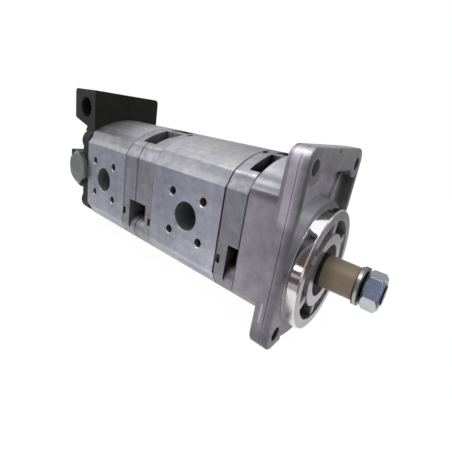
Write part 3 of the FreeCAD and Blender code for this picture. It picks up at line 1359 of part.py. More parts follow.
PIECES = [
    make_front_flange(),
    make_front_bearing_cover(),
    make_front_body(),
    make_front_rear_plate(),
    make_rear_front_plate(),
    make_rear_body(),
    make_rear_cover(),
    *[make_bearing_block(label, front, length) for label, (front, length, gear_in_front) in BLOCKS.items()],
    make_journal_bushes(),
    tube("front_cover_bush", f"{SEAL_BACK} - cover_bush_length", "cover_bush_length",
         f"{COVER_BUSH_OUTER} - slip_fit", "shaft_radius + running_clearance"),
    make_shaft_seal(),
    make_seal_circlip(),
    make_joint_seals(),
    make_passage_seals(),
    make_dowel_pins(),
    make_through_bolts(),
    make_drive_shaft(),
    key_disc("shaft_key", "0"),
    make_taper_sleeve(),
    make_spring_washer(),
    make_shaft_nut(),
    make_drive_coupling(),
    make_gear_shaft("front_driven_gear", BEARING_JOINT, FRONT_BODY_END, FRONT_GEAR_END,
                    "front_gear_width", DRIVEN_AXIS, 285),
    make_gear_shaft("rear_drive_gear", REAR_BODY_START, REAR_BODY_END, REAR_GEAR_END,
                    "rear_gear_width", DRIVE_AXIS, 90, True),
    make_gear_shaft("rear_driven_gear", REAR_BODY_START, REAR_BODY_END, REAR_GEAR_END,
                    "rear_gear_width", DRIVEN_AXIS, 285),
    make_hex_plug(),
    make_plug_seal_ring(),
    make_relief_seat(),
    make_relief_poppet(),
    make_relief_spring(),
]

doc.recompute()
for thing in doc.Objects:
    if "Invalid" in thing.State or "Error" in thing.State:
        raise RuntimeError(f"{thing.Label} failed: {thing.State}")
for piece in PIECES:
    if piece.Shape.isNull() or not piece.Shape.isValid() or not piece.Shape.Solids:
        raise RuntimeError(f"{piece.Label} has no valid solid")

os.makedirs("parts", exist_ok=True)
for piece in PIECES:
    piece.Shape.exportStep(f"parts/{piece.Label}.step")
    size = piece.Shape.BoundBox
    print(f"{piece.Label}: {len(piece.Shape.Solids)} solids, volume {piece.Shape.Volume:.0f}, "
          f"x {size.XMin:.2f} {size.XMax:.2f}, y {size.YMin:.2f} {size.YMax:.2f}, "
          f"z {size.ZMin:.2f} {size.ZMax:.2f}")
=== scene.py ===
"""Looks of the tandem gear pump: finishes, small visible details, studio and camera.

Along, across and up are the part's X, Y and Z, in metres like every length here. The thread of
the shaft is at the end of +X, and the photograph shows the side at -Y.
"""

import json
import math

import bmesh
import bpy
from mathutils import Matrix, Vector


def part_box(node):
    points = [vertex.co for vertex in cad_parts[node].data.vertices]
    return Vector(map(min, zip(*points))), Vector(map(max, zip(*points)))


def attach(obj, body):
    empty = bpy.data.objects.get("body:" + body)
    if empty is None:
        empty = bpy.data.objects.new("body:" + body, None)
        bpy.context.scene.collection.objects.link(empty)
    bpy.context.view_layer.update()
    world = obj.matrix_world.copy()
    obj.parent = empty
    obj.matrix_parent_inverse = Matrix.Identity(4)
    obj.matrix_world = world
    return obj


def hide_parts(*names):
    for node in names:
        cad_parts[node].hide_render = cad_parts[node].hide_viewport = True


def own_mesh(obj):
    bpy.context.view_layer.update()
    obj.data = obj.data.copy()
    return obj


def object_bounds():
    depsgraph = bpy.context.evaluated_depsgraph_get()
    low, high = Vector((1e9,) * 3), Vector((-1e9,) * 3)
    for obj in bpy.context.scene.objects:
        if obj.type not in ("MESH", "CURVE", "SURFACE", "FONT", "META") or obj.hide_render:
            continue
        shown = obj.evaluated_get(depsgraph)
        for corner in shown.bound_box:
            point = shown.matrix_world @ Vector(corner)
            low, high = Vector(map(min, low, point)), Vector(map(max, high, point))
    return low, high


MM = 0.001
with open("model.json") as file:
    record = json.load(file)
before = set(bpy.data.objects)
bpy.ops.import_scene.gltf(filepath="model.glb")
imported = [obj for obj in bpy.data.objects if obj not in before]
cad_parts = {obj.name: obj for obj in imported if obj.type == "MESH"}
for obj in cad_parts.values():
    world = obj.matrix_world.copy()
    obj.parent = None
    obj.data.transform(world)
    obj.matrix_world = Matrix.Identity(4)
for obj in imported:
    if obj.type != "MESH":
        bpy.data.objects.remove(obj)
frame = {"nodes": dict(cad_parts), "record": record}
cad_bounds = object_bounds()
nodes = frame["nodes"]
mounts = {mount["name"]: mount for mount in frame["record"]["mounts"]}

# The camera that took the photograph, in the part's own frame
CAMERA_PLACE = Vector((54.249, -182.157, 83.273)) * MM
CAMERA_TURN = (72.913, -8.278, 40.113)
FOCAL_PIXELS = 298.27
PHOTO_PIXELS = 452
PHOTO_CENTRE = (215.82, 206.60)
SENSOR = 36.0
CLIP_START = 0.01

# Places on the part that several finishes use, from the frame
PORT_STATIONS = [mounts[name]["pos_m"][0] for name in ("front_suction_port", "rear_suction_port")]
MIDDLE = mounts["front_suction_port"]["pos_m"][2]
PORT_RADIUS = mounts["front_suction_port"]["dims"]["r_mm"] * MM
PORT_SCREWS = mounts["front_suction_port_screws"]["dims"]["spacing_x_mm"] * MM / 2
SCREW_RADIUS = mounts["front_suction_port_screws"]["dims"]["hole_r_mm"] * MM
BODY_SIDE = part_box("front_pump_body")[0][1]
PILOT_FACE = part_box("front_flange")[1][0]

# Dark lines at the joints: node behind the joint, how far behind it, half width, strength.
# The core is the share of the width that is fully dark.
JOINT_LINES = (
    ("front_bearing_cover", 0.0, 0.00075, 0.85),
    ("front_pump_body", 0.0005, 0.00080, 0.90),
    ("front_pump_rear_plate", 0.0, 0.00030, 0.45),
    ("rear_pump_front_plate", 0.0, 0.00085, 0.70),
    ("rear_pump_body", 0.0, 0.00085, 0.75),
    ("rear_cover", 0.0, 0.00060, 0.80),
)
LINE_CORE = 0.35

# One punch mark on the rear body's crown, and one low on the left flat of each body, each a painted
# highlight
PUNCH_MARKS = ((-0.1565, -0.0199, 0.0633), (-0.0518, -0.0450, -0.0096), (-0.1521, -0.0450, -0.0096))
PUNCH_RADII = (0.0008, 0.0011)


# Node helpers

def add(tree, kind, values=None, **settings):
    """A shader node with its settings and its unlinked input values."""
    item = tree.nodes.new("ShaderNode" + kind)
    for name, setting in settings.items():
        setattr(item, name, setting)
    for name, number in (values or {}).items():
        item.inputs[name].default_value = number
    return item


def join(tree, source, target, out=0, into=0):
    """Links two nodes and returns the second."""
    tree.links.new(source.outputs[out], target.inputs[into])
    return target


def output_of(item):
    """The socket that carries a node's result."""
    return item.outputs[2] if item.bl_idname == "ShaderNodeMix" else item.outputs[0]


def feed(tree, source, socket):
    """Links a node to a socket, or writes a plain number or colour on it."""
    if isinstance(source, (int, float)):
        socket.default_value = source
    elif isinstance(source, tuple):
        socket.default_value = (*source, 1)
    elif isinstance(source, bpy.types.NodeSocket):
        tree.links.new(source, socket)
    else:
        tree.links.new(output_of(source), socket)


def new_material(name, metallic=0.0):
    """A material, its node tree and its shader."""
    material = bpy.data.materials.new(name)
    material.use_nodes = True
    tree = material.node_tree
    shader = tree.nodes["Principled BSDF"]
    shader.inputs["Metallic"].default_value = metallic
    return material, tree, shader


def calc(tree, operation, first, second=0.0, third=0.0):
    item = add(tree, "Math", operation=operation)
    for source, socket in zip((first, second, third), item.inputs):
        feed(tree, source, socket)
    return item


def share(tree, mask, amount):
    """A mask times an amount."""
    return calc(tree, "MULTIPLY", mask, amount)


def step_up(tree, source, start, full):
    """0 at start, 1 at full and beyond, smooth between; start may lie above full."""
    if start < full:
        low, high, out_low, out_high = start, full, 0.0, 1.0
    else:
        low, high, out_low, out_high = full, start, 1.0, 0.0
    item = add(tree, "MapRange", interpolation_type="SMOOTHSTEP")
    feed(tree, source, item.inputs["Value"])
    values = {"From Min": low, "From Max": high, "To Min": out_low, "To Max": out_high}
    for name, number in values.items():
        item.inputs[name].default_value = number
    return item


def near(tree, source, middle, inside, outside):
    """1 within inside of middle, 0 beyond outside."""
    away = calc(tree, "ABSOLUTE", calc(tree, "SUBTRACT", source, middle))
    return step_up(tree, away, outside, inside)


def both(tree, *masks):
    """The product of masks: 1 where all of them are."""
    result = masks[0]
    for mask in masks[1:]:
        result = calc(tree, "MULTIPLY", result, mask)
    return result


def either(tree, *masks):
    """The largest of masks: 1 where one of them is."""
    result = masks[0]
    for mask in masks[1:]:
        result = calc(tree, "MAXIMUM", result, mask)
    return result


def noise(tree, scale, detail=3.0, stretch=(1, 1, 1)):
    """Smooth noise with scale features to the metre, over a stretched part."""
    where = add(tree, "TexCoord")
    mapping = add(tree, "Mapping", {"Scale": stretch})
    join(tree, where, mapping, "Object", "Vector")
    texture = add(tree, "TexNoise", {"Scale": scale, "Detail": detail, "Roughness": 0.55})
    return join(tree, mapping, texture, 0, "Vector")


def tone(level):
    """A colour as it is, or a number as a grey."""
    return level if isinstance(level, tuple) else (level, level, level)


def ramp(tree, source, low, high):
    """Tones along a value: low and high are (value, tone)."""
    item = add(tree, "ValToRGB")
    for element, (place, level) in zip(item.color_ramp.elements, (low, high)):
        element.position = place
        element.color = (*tone(level), 1)
    feed(tree, source, item.inputs["Fac"])
    return item


def mix(tree, factor, first, second, kind="MIX"):
    """Two colours mixed by a mask or a number."""
    item = add(tree, "Mix", data_type="RGBA", blend_type=kind)
    sockets = (item.inputs["Factor"], item.inputs[6], item.inputs[7])
    for source, socket in zip((factor, first, second), sockets):
        feed(tree, source, socket)
    return item


def blend(tree, factor, first, second):
    """Two numbers mixed by a mask."""
    item = add(tree, "Mix", data_type="FLOAT")
    sockets = (item.inputs["Factor"], item.inputs[2], item.inputs[3])
    for source, socket in zip((factor, first, second), sockets):
        feed(tree, source, socket)
    return item.outputs[0]


def multiply(tree, colour, other):
    return mix(tree, 1.0, colour, other, "MULTIPLY")


def shade(tree, colour, mask, inside, outside=1.0):
    """A colour multiplied by inside where the mask is 1, and by outside where it is 0."""
    return multiply(tree, colour, ramp(tree, mask, (0.0, outside), (1.0, inside)))


def paint(tree, colour, mask, other, amount):
    """A colour covered by another where the mask is 1, up to an amount."""
    return mix(tree, share(tree, mask, amount), colour, other)


def uneven(tree, texture, spread, base):
    """A number that varies with a texture."""
    return calc(tree, "MULTIPLY_ADD", texture, spread, base)


def bump(tree, height, strength, distance, below=None):
    item = add(tree, "Bump", {"Distance": distance})
    feed(tree, strength, item.inputs["Strength"])
    feed(tree, height, item.inputs["Height"])
    if below is not None:
        tree.links.new(below.outputs["Normal"], item.inputs["Normal"])
    return item


def soft_edges(tree, radius):
    """Rounds the shading at sharp edges."""
    return add(tree, "Bevel", {"Radius": radius}, samples=4)


def occlusion(tree, distance):
    """Dark in corners and hollows."""
    return add(tree, "AmbientOcclusion", {"Distance": distance}, samples=8, only_local=True)


def finish(tree, shader, colour, roughness, normal, metallic=None):
    """Feeds a shader; without metallic it keeps the number that the material was made with."""
    feed(tree, colour, shader.inputs["Base Color"])
    feed(tree, roughness, shader.inputs["Roughness"])
    tree.links.new(normal.outputs["Normal"], shader.inputs["Normal"])
    if metallic is not None:
        feed(tree, metallic, shader.inputs["Metallic"])


# Places as masks

def axes_of(tree):
    """The part's X, Y and Z in metres, as sockets by name."""
    where = add(tree, "TexCoord")
    split = add(tree, "SeparateXYZ")
    join(tree, where, split, "Object", 0)
    letters = {"along": "X", "across": "Y", "up": "Z"}
    return {name: split.outputs[letter] for name, letter in letters.items()}


def length(tree, first, second):
    """The length of a vector with two parts."""
    squares = [calc(tree, "MULTIPLY", part, part) for part in (first, second)]
    return calc(tree, "SQRT", calc(tree, "ADD", *squares))


def distance_to(tree, axes, station, level):
    """Distance from a crosswise axis at a station and level."""
    run = calc(tree, "SUBTRACT", axes["along"], station)
    rise = calc(tree, "SUBTRACT", axes["up"], level)
    return length(tree, run, rise)


def spot(tree, place, inside, outside):
    """1 inside a small ball about a place."""
    where = add(tree, "TexCoord")
    away = add(tree, "VectorMath", operation="DISTANCE")
    join(tree, where, away, "Object", 0)
    away.inputs[1].default_value = place
    return step_up(tree, away.outputs["Value"], outside, inside)


def beyond(axis, start, full):
    """A band that is 0 up to start and 1 from full on, in either direction of an axis."""
    return lambda tree, axes: step_up(tree, axes[axis], start, full)


def around(axis, middle, inside, outside):
    """A band that is 1 within inside of a place on an axis, and 0 beyond outside."""
    return lambda tree, axes: near(tree, axes[axis], middle, inside, outside)


def masks_of(tree, axes, regions):
    """A mask for each named region, which is 1 where all bands of the region are."""
    return {name: both(tree, *[band(tree, axes) for band in bands])
            for name, bands in regions.items()}


def joint_lines(tree, axes):
    """Up to 1 in the dark lines where two parts meet."""
    lines = []
    for node, behind, half, strength in JOINT_LINES:
        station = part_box(node)[1][0] - behind
        line = near(tree, axes["along"], station, half * LINE_CORE, half)
        lines.append(share(tree, line, strength))
    return either(tree, *lines)


# Die castings

CAST_DARK = (0.245, 0.238, 0.262)
CAST_LIGHT = (0.330, 0.322, 0.350)
# Painted shade in the castings' hollows, and the dark of the flange's parting line
HOLLOW_SHADE_AND_SEAM = (0.045, 0.042, 0.042)
# Near black: painted shade by the sleeve and washer, and the dark of joint lines and the shaft's
# thread
SHADE = (0.012, 0.011, 0.012)

# How pale the plates and the front casting are
PLATE_LIGHT = 1.08
FLANGE_LIGHT = 1.45

# How open a hollow is where its painted shade is darkest, and where it has none
PLATE_HOLLOWS = (0.30, 0.88)
FLANGE_HOLLOWS = (0.12, 0.72)
COVER_HOLLOWS = (0.70, 0.99)

# Levels of the two ridges below the crown, where a highlight is painted on the castings
RIDGE_LEVEL = 0.0475
CORNER_LEVEL = MIDDLE + 0.0378


def cast_skin(tree, axes, light, hollows, rough=1.0):
    """Colour, roughness and normal of a die casting: cloudy, fine grain, painted shade in the
    hollows.

    Light is how pale it is, and rough is 1 where the skin isn't machined away.
    """
    dark, pale = (tuple(part * light for part in colour) for colour in (CAST_DARK, CAST_LIGHT))
    clouds = ramp(tree, noise(tree, 42, 5), (0.36, dark), (0.68, pale))
    grain = ramp(tree, noise(tree, 1500, 2), (0.35, 0.90), (0.7, 1.07))
    stains = ramp(tree, noise(tree, 130, 4), (0.34, 0.88), (0.62, 1.08))
    colour = multiply(tree, multiply(tree, clouds, grain), stains)
    start, full = hollows
    # Painted shade: darker where the occlusion finds a hollow
    hollow = ramp(tree, occlusion(tree, 0.010), (start, 0.0), (full, 1.0))
    colour = mix(tree, hollow, HOLLOW_SHADE_AND_SEAM, colour)
    lines = joint_lines(tree, axes)
    colour = mix(tree, lines, colour, SHADE)
    gloss = uneven(tree, noise(tree, 220, 3), 0.22, 0.33)
    edge = bump(tree, lines, -0.6, 0.0004, soft_edges(tree, 0.0008))
    coarse = bump(tree, noise(tree, 420, 3), share(tree, rough, 0.10), 0.0004, edge)
    fine = bump(tree, noise(tree, 2400, 2), share(tree, rough, 0.16), 0.00012, coarse)
    return colour, gloss, fine


def ridge_highlights(tree, axes):
    """1 on the shoulders' ridges, left and right of the crown, where a highlight is painted."""
    aside = calc(tree, "ABSOLUTE", axes["across"])
    ridge = near(tree, axes["up"], RIDGE_LEVEL, 0.0015, 0.0048)
    corner = near(tree, axes["up"], CORNER_LEVEL, 0.0004, 0.0012)
    return either(tree, both(tree, ridge, step_up(tree, aside, 0.0380, 0.0400)),
                  both(tree, corner, step_up(tree, aside, 0.0360, 0.0375)))


def cast_aluminium(name, hollows):
    """The skin of the plates, with painted highlights on the ridges."""
    material, tree, shader = new_material(name, 0.8)
    axes = axes_of(tree)
    colour, gloss, normal = cast_skin(tree, axes, PLATE_LIGHT, hollows)
    # Painted highlight: the ridges brightened by a patchy gain
    highlight_gain = ramp(tree, noise(tree, 260, 3), (0.35, 1.30), (0.65, 1.75))
    colour = paint(tree, colour, ridge_highlights(tree, axes), multiply(tree, colour, highlight_gain), 0.85)
    finish(tree, shader, colour, gloss, normal)
    return material


# The front casting

# Dark olive for the right part of the recess
RECESS_OLIVE = (0.085, 0.090, 0.070)
FLASH = (0.62, 0.61, 0.62)
# White of the painted highlights on the pilot's wall
GLEAM = (0.92, 0.93, 0.94)
GLEAM_TILT = -0.22
POLISHED = (0.76, 0.76, 0.75)
FACED = (0.385, 0.368, 0.366)
# Painted light on the upper left side of the front casting
PAINTED_SIDE_LIGHT = (1.04, 1.00, 1.01)

# Regions of the front casting, each with the bands that it lies in
FLANGE_REGIONS = {
    "pilot_wall": [beyond("along", 0.0001, 0.0003), beyond("out", 0.0390, 0.0393)],
    "pilot_face": [beyond("along", PILOT_FACE - 0.00025, PILOT_FACE - 0.0001)],
    "pilot_pockets": [beyond("out", 0.0362, 0.0358), beyond("along", 0.0077, 0.0070)],
    "pilot_foot": [around("along", 0.0005, 0.0004, 0.0009)],
    "pilot_underside": [beyond("up", -0.001, -0.008)],
    "pilot_gleam": [around("up", 0.0333, 0.0008, 0.0050), beyond("across", 0.0, -0.005)],
    "clear_of_floor": [beyond("up", -0.044, -0.012)],
    "left_side": [beyond("across", -0.0440, -0.0445)],
    "left_side_top": [beyond("up", -0.015, 0.010), beyond("along", -0.0010, -0.0035)],
    "left_edge": [beyond("across", -0.0410, -0.0425), beyond("along", -0.0042, -0.0030)],
    "left_corner": [beyond("up", 0.0680, 0.0720), beyond("across", -0.0340, -0.0400)],
    "right_side": [beyond("across", 0.0440, 0.0445)],
    "top": [beyond("up", 0.0745, 0.0752)],
    "hub": [beyond("out", 0.0530, 0.0515), beyond("along", -0.0060, -0.0050)],
    "recess": [around("along", -0.0050, 0.0042, 0.0048), beyond("up", 0.030, 0.038)],
    "recess_corner": [beyond("across", 0.0230, 0.0320)],
    "cover": [beyond("along", -0.0115, -0.0130)],
    "crown": [beyond("up", 0.0540, 0.0580)],
    "crown_highlight": [around("up", 0.0524, 0.0005, 0.0016)],
    "shoulder_highlight": [around("up", 0.0490, 0.0003, 0.0009)],
    "shaded_shoulder": [beyond("along", -0.0100, -0.0130), around("up", 0.0505, 0.0040, 0.0085)],
    "parting_line": [around("along", -0.0048, 0.0001, 0.0004), beyond("up", -0.046, -0.044)],
    "casting_flash": [around("along", -0.0076, 0.0003, 0.0009),
                      around("up", -0.0195, 0.0055, 0.0075)],
}


def shade_casting(tree, mask, colour):
    """Tones of the front casting: painted shade near the floor and on edges, painted light and
    highlights, an olive patch.
    """
    # Painted shade towards the floor
    colour = shade(tree, colour, mask["clear_of_floor"], 1.0, outside=0.52)
    # Painted light: the upper left side kept bright, the rest of the casting darkened
    side = both(tree, mask["left_side"], mask["left_side_top"])
    colour = shade(tree, colour, side, PAINTED_SIDE_LIGHT, outside=0.78)
    # Painted highlights along the cover's crown edge and shoulder edge
    lines = either(tree, mask["crown_highlight"], share(tree, mask["shoulder_highlight"], 0.5))
    colour = mix(tree, both(tree, mask["cover"], lines), colour, multiply(tree, colour, tone(1.7)))
    # Painted light on the cover's crown
    colour = shade(tree, colour, both(tree, mask["cover"], mask["crown"]), 1.6)
    # Painted light in the recess and in the pockets of the pilot
    pale = either(tree, share(tree, mask["recess"], 0.58), mask["pilot_pockets"])
    colour = shade(tree, colour, pale, 2.1)
    # Painted shade on the left edge, the top left corner and the hub, dulling their reflections
    dim = either(tree, mask["left_edge"], share(tree, mask["left_corner"], 0.7),
                 share(tree, mask["hub"], 0.5))
    colour = shade(tree, colour, dim, 0.68)
    # The right part of the recess is painted dark olive
    colour = paint(tree, colour, both(tree, mask["recess"], mask["recess_corner"]), RECESS_OLIVE, 0.75)
    # Painted shade on the cover's shoulder
    return shade(tree, colour, mask["shaded_shoulder"], 0.57)


def machine_pilot(tree, mask, colour, gloss):
    """The pilot's polished wall and faced front, both with fine turning marks, and painted
    highlights on the wall.
    """
    marks = ramp(tree, noise(tree, 2600, 2, (1, 0.04, 0.04)), (0.3, 0.86), (0.7, 1.06))
    wall, face = mask["pilot_wall"], mask["pilot_face"]
    colour = mix(tree, wall, colour, multiply(tree, POLISHED, marks))
    colour = mix(tree, face, colour, multiply(tree, FACED, marks))
    wall_gloss = blend(tree, mask["pilot_underside"], 0.10, 0.30)
    gloss = blend(tree, face, blend(tree, wall, gloss, wall_gloss), 0.34)
    # Painted highlights: a band high on the wall and a line at its foot
    foot = share(tree, both(tree, wall, mask["pilot_foot"]), 0.8)
    gleam = both(tree, wall, mask["pilot_gleam"])
    return mix(tree, either(tree, gleam, foot), colour, GLEAM), gloss, gleam


def draw_casting_lines(tree, mask, colour, normal):
    """The mould's parting line round the flange, and a streak of flash on its left side."""
    rim = either(tree, mask["left_side"], mask["right_side"], mask["top"])
    seam = both(tree, mask["parting_line"], rim)
    flash = both(tree, mask["casting_flash"], mask["left_side"])
    colour = paint(tree, colour, seam, HOLLOW_SHADE_AND_SEAM, 0.7)
    colour = paint(tree, colour, flash, FLASH, 0.6)
    return colour, bump(tree, seam, -0.5, 0.0002, bump(tree, flash, 0.5, 0.0002, normal))


def flange_aluminium():
    """The front casting: machined pilot, painted light and shade on its ridges, and a parting line
    round the flange.
    """
    material, tree, shader = new_material("flange_aluminium")
    axes = axes_of(tree)
    axes["out"] = length(tree, axes["across"], axes["up"])
    mask = masks_of(tree, axes, FLANGE_REGIONS)
    machined = either(tree, mask["pilot_wall"], mask["pilot_face"])
    as_cast = calc(tree, "SUBTRACT", 1.0, machined)
    colour, gloss, normal = cast_skin(tree, axes, FLANGE_LIGHT, FLANGE_HOLLOWS, as_cast)
    colour = shade_casting(tree, mask, colour)
    colour, gloss, gleam = machine_pilot(tree, mask, colour, gloss)
    colour, normal = draw_casting_lines(tree, mask, colour, normal)
    # Tilts the normals under the painted highlight on the pilot's wall
    tilted = bump(tree, calc(tree, "MULTIPLY", axes["along"], GLEAM_TILT), gleam, 1.0, normal)
    finish(tree, shader, colour, gloss, tilted, blend(tree, machined, 0.8, 1.0))
    return material


# The extruded pump bodies

EXTRUDED_BLUE = (0.448, 0.455, 0.526)
EXTRUDED_PALE = (0.552, 0.556, 0.613)
WARM_CROWN = (1.0, 0.975, 0.925)
BODY_HOLLOW_SHADE = (0.030, 0.034, 0.029)
PORT_TINT = (1.04, 1.12, 0.98)
HOLE_WALL_LIGHT = (0.62, 0.57, 0.50)
GLINT = (0.92, 0.92, 0.90)
PUNCH_HIGHLIGHT = tone(0.90)

# The lit part of a screw hole's edge lies below a line of this slope
GLINT_SLOPE = 0.4

# Regions of the pump bodies, measured from the ports' level and from the side that has them
BODY_REGIONS = {
    "below_crown": [beyond("up", MIDDLE + 0.030, MIDDLE + 0.027)],
    "sunk": [beyond("across", BODY_SIDE + 0.0004, BODY_SIDE + 0.0010)],
    "hole_mouths": [beyond("across", BODY_SIDE + 0.0015, BODY_SIDE + 0.0012)],
    "hole_depth": [beyond("across", BODY_SIDE + 0.0070, BODY_SIDE + 0.0050)],
    "milled_flat": [beyond("across", BODY_SIDE + 0.0030, BODY_SIDE + 0.0015),
                    beyond("along", -0.105, -0.048)],
    "dark_shoulder_band": [beyond("along", -0.145, -0.150), around("up", 0.0525, 0.0030, 0.0060)],
}


def port_masks(tree, axes):
    """Masks at the suction ports: bores, screw holes, and the lower edges of these, where a
    highlight is painted.
    """
    bores, holes, glints = [], [], []
    for station in PORT_STATIONS:
        away = distance_to(tree, axes, station, MIDDLE)
        bores.append(step_up(tree, away, PORT_RADIUS + 0.0008, PORT_RADIUS + 0.0004))
        for side, rise in ((-1, -1), (-1, 1), (1, -1), (1, 1)):
            place, level = station + side * PORT_SCREWS, MIDDLE + rise * PORT_SCREWS
            away = distance_to(tree, axes, place, level)
            holes.append(step_up(tree, away, SCREW_RADIUS + 0.0003, SCREW_RADIUS + 0.0001))
            rim = near(tree, away, SCREW_RADIUS + 0.0001, 0.0003, 0.0006)
            height = calc(tree, "MULTIPLY_ADD", axes["along"], -GLINT_SLOPE, axes["up"])
            centre = level - GLINT_SLOPE * place
            lower = step_up(tree, height, centre - 0.0006, centre - 0.0020)
            glints.append(both(tree, rim, lower))
    return either(tree, *bores), either(tree, *holes), either(tree, *glints)


def extruded_aluminium():
    """Drawn along the shaft, with milled side flats and punch marks painted as highlights."""
    material, tree, shader = new_material("extruded_aluminium", 0.85)
    axes = axes_of(tree)
    mask = masks_of(tree, axes, BODY_REGIONS)
    clouds = ramp(tree, noise(tree, 55, 5), (0.33, EXTRUDED_BLUE), (0.70, EXTRUDED_PALE))
    lines = ramp(tree, noise(tree, 260, 4, (0.04, 1, 1)), (0.3, 0.92), (0.72, 1.05))
    mottle = ramp(tree, noise(tree, 210, 5), (0.36, 0.88), (0.64, 1.08))
    colour = multiply(tree, clouds, multiply(tree, lines, mottle))
    # Painted shade: darker where the occlusion finds a hollow
    hollow = ramp(tree, occlusion(tree, 0.007), (0.10, 0.0), (0.62, 1.0))
    colour = mix(tree, hollow, BODY_HOLLOW_SHADE, colour)
    colour = shade(tree, colour, mask["below_crown"], 1.0, outside=WARM_CROWN)

    bores, holes, glints = port_masks(tree, axes)
    colour = mix(tree, both(tree, mask["sunk"], bores), colour, multiply(tree, colour, PORT_TINT))
    # Painted light on the walls inside the screw holes
    colour = paint(tree, colour, both(tree, holes, mask["hole_depth"]), HOLE_WALL_LIGHT, 0.8)
    # Painted highlight on the lower edge of each screw hole
    colour = paint(tree, colour, both(tree, glints, mask["hole_mouths"]), GLINT, 0.85)
    colour = shade(tree, colour, mask["milled_flat"], 1.0, outside=0.77)
    # The rear body's shoulder is darker towards its back end
    colour = shade(tree, colour, mask["dark_shoulder_band"], 0.74)
    colour = mix(tree, joint_lines(tree, axes), colour, SHADE)
    for place in PUNCH_MARKS:
        # Each punch mark is a spot of painted highlight
        colour = mix(tree, spot(tree, place, *PUNCH_RADII), colour, PUNCH_HIGHLIGHT)

    gloss = uneven(tree, noise(tree, 300, 3, (0.1, 1, 1)), 0.22, 0.30)
    drawn = bump(tree, noise(tree, 900, 2, (0.03, 1, 1)), 0.12, 0.0001, soft_edges(tree, 0.0005))
    normal = bump(tree, noise(tree, 2200, 2), 0.10, 0.00008, drawn)
    finish(tree, shader, colour, gloss, normal)
    return material


# The other finishes

IRON_DARK = (0.0100, 0.0112, 0.0085)
IRON_LIGHT = (0.0190, 0.0205, 0.0165)
SLEEVE_DARK = (0.265, 0.200, 0.128)
SLEEVE_LIGHT = (0.322, 0.250, 0.165)
SLEEVE_BLACK = tone(0.004)
STEEL_DARK = (0.39, 0.39, 0.40)
STEEL_LIGHT = (0.45, 0.45, 0.46)
ZINC_DARK = (0.56, 0.60, 0.66)
ZINC_LIGHT = (0.66, 0.70, 0.76)
ZINC_PLAIN = (0.84, 0.85, 0.79)
PAINTED_BLUE_REFLECTION = (0.66, 0.70, 0.84)
WASHER_DARK = (0.36, 0.37, 0.36)
WASHER_LIGHT = (0.50, 0.51, 0.50)
WASHER_TINT = (0.95, 0.96, 0.92)
WASHER_TILT = 0.045
WASHER_STATION = 0.0298

SLEEVE_REGIONS = {
    "in_the_light": [beyond("along", 0.0086, 0.0200)],
    "inside_the_pilot": [beyond("along", 0.0090, 0.0085)],
    "shaded_front_end": [beyond("along", 0.0276, 0.0279)],
}
SHAFT_REGIONS = {
    "thread": [beyond("along", 0.0300, 0.0310)],
}
NUT_REGIONS = {
    "blue_facet": [beyond("across", -0.0040, -0.0070), around("up", 0.0052, 0.0050, 0.0054)],
}


def cast_iron():
    """Dark olive phosphated casting with a pebbly skin."""
    material, tree, shader = new_material("cast_iron", 0.1)
    shader.inputs["Specular IOR Level"].default_value = 0.22
    clouds = ramp(tree, noise(tree, 60, 4), (0.35, IRON_DARK), (0.7, IRON_LIGHT))
    coarse = bump(tree, noise(tree, 500, 3), 0.25, 0.0004, soft_edges(tree, 0.0010))
    normal = bump(tree, noise(tree, 1800, 2), 0.25, 0.0002, coarse)
    finish(tree, shader, clouds, 0.55, normal)
    return material


def tan_sleeve():
    """Tan plastic, with painted shade where it stands in the bore and at its front end."""
    material, tree, shader = new_material("tan_sleeve")
    mask = masks_of(tree, axes_of(tree), SLEEVE_REGIONS)
    clouds = ramp(tree, noise(tree, 90, 4, (0.4, 1, 1)), (0.3, SLEEVE_DARK), (0.7, SLEEVE_LIGHT))
    colour = shade(tree, clouds, mask["in_the_light"], 1.0, outside=0.62)
    # Painted shadow: black where the sleeve lies inside the pilot's bore
    colour = mix(tree, mask["inside_the_pilot"], colour, SLEEVE_BLACK)
    # Painted shade at the front end, in the gap before the washer
    colour = mix(tree, mask["shaded_front_end"], colour, SHADE)
    normal = bump(tree, noise(tree, 1400, 2, (0.2, 1, 1)), 0.10, 0.00008, soft_edges(tree, 0.0004))
    finish(tree, shader, colour, 0.46, normal)
    return material


def shaft_steel():
    """Hard steel, coloured black from the thread on."""
    material, tree, shader = new_material("shaft_steel", 1.0)
    mask = masks_of(tree, axes_of(tree), SHAFT_REGIONS)
    steel = ramp(tree, noise(tree, 200, 3, (1, 0.2, 0.2)), (0.3, STEEL_DARK), (0.7, STEEL_LIGHT))
    colour = mix(tree, mask["thread"], steel, SHADE)
    finish(tree, shader, colour, 0.30, soft_edges(tree, 0.0003))
    return material


def zinc_nut():
    """Bright zinc with a blue passivate, and a painted blue reflection on one facet."""
    material, tree, shader = new_material("zinc_nut", 0.85)
    mask = masks_of(tree, axes_of(tree), NUT_REGIONS)
    clouds = ramp(tree, noise(tree, 110, 4), (0.32, ZINC_DARK), (0.68, ZINC_LIGHT))
    # Painted reflection: blue on one facet, a plain tint on the rest
    colour = shade(tree, clouds, mask["blue_facet"], PAINTED_BLUE_REFLECTION, outside=ZINC_PLAIN)
    gloss = uneven(tree, noise(tree, 400, 3), 0.16, 0.18)
    wavy = bump(tree, noise(tree, 260, 3), 0.10, 0.0003, soft_edges(tree, 0.0005))
    normal = bump(tree, noise(tree, 1600, 2), 0.10, 0.00006, wavy)
    finish(tree, shader, colour, gloss, normal)
    return material


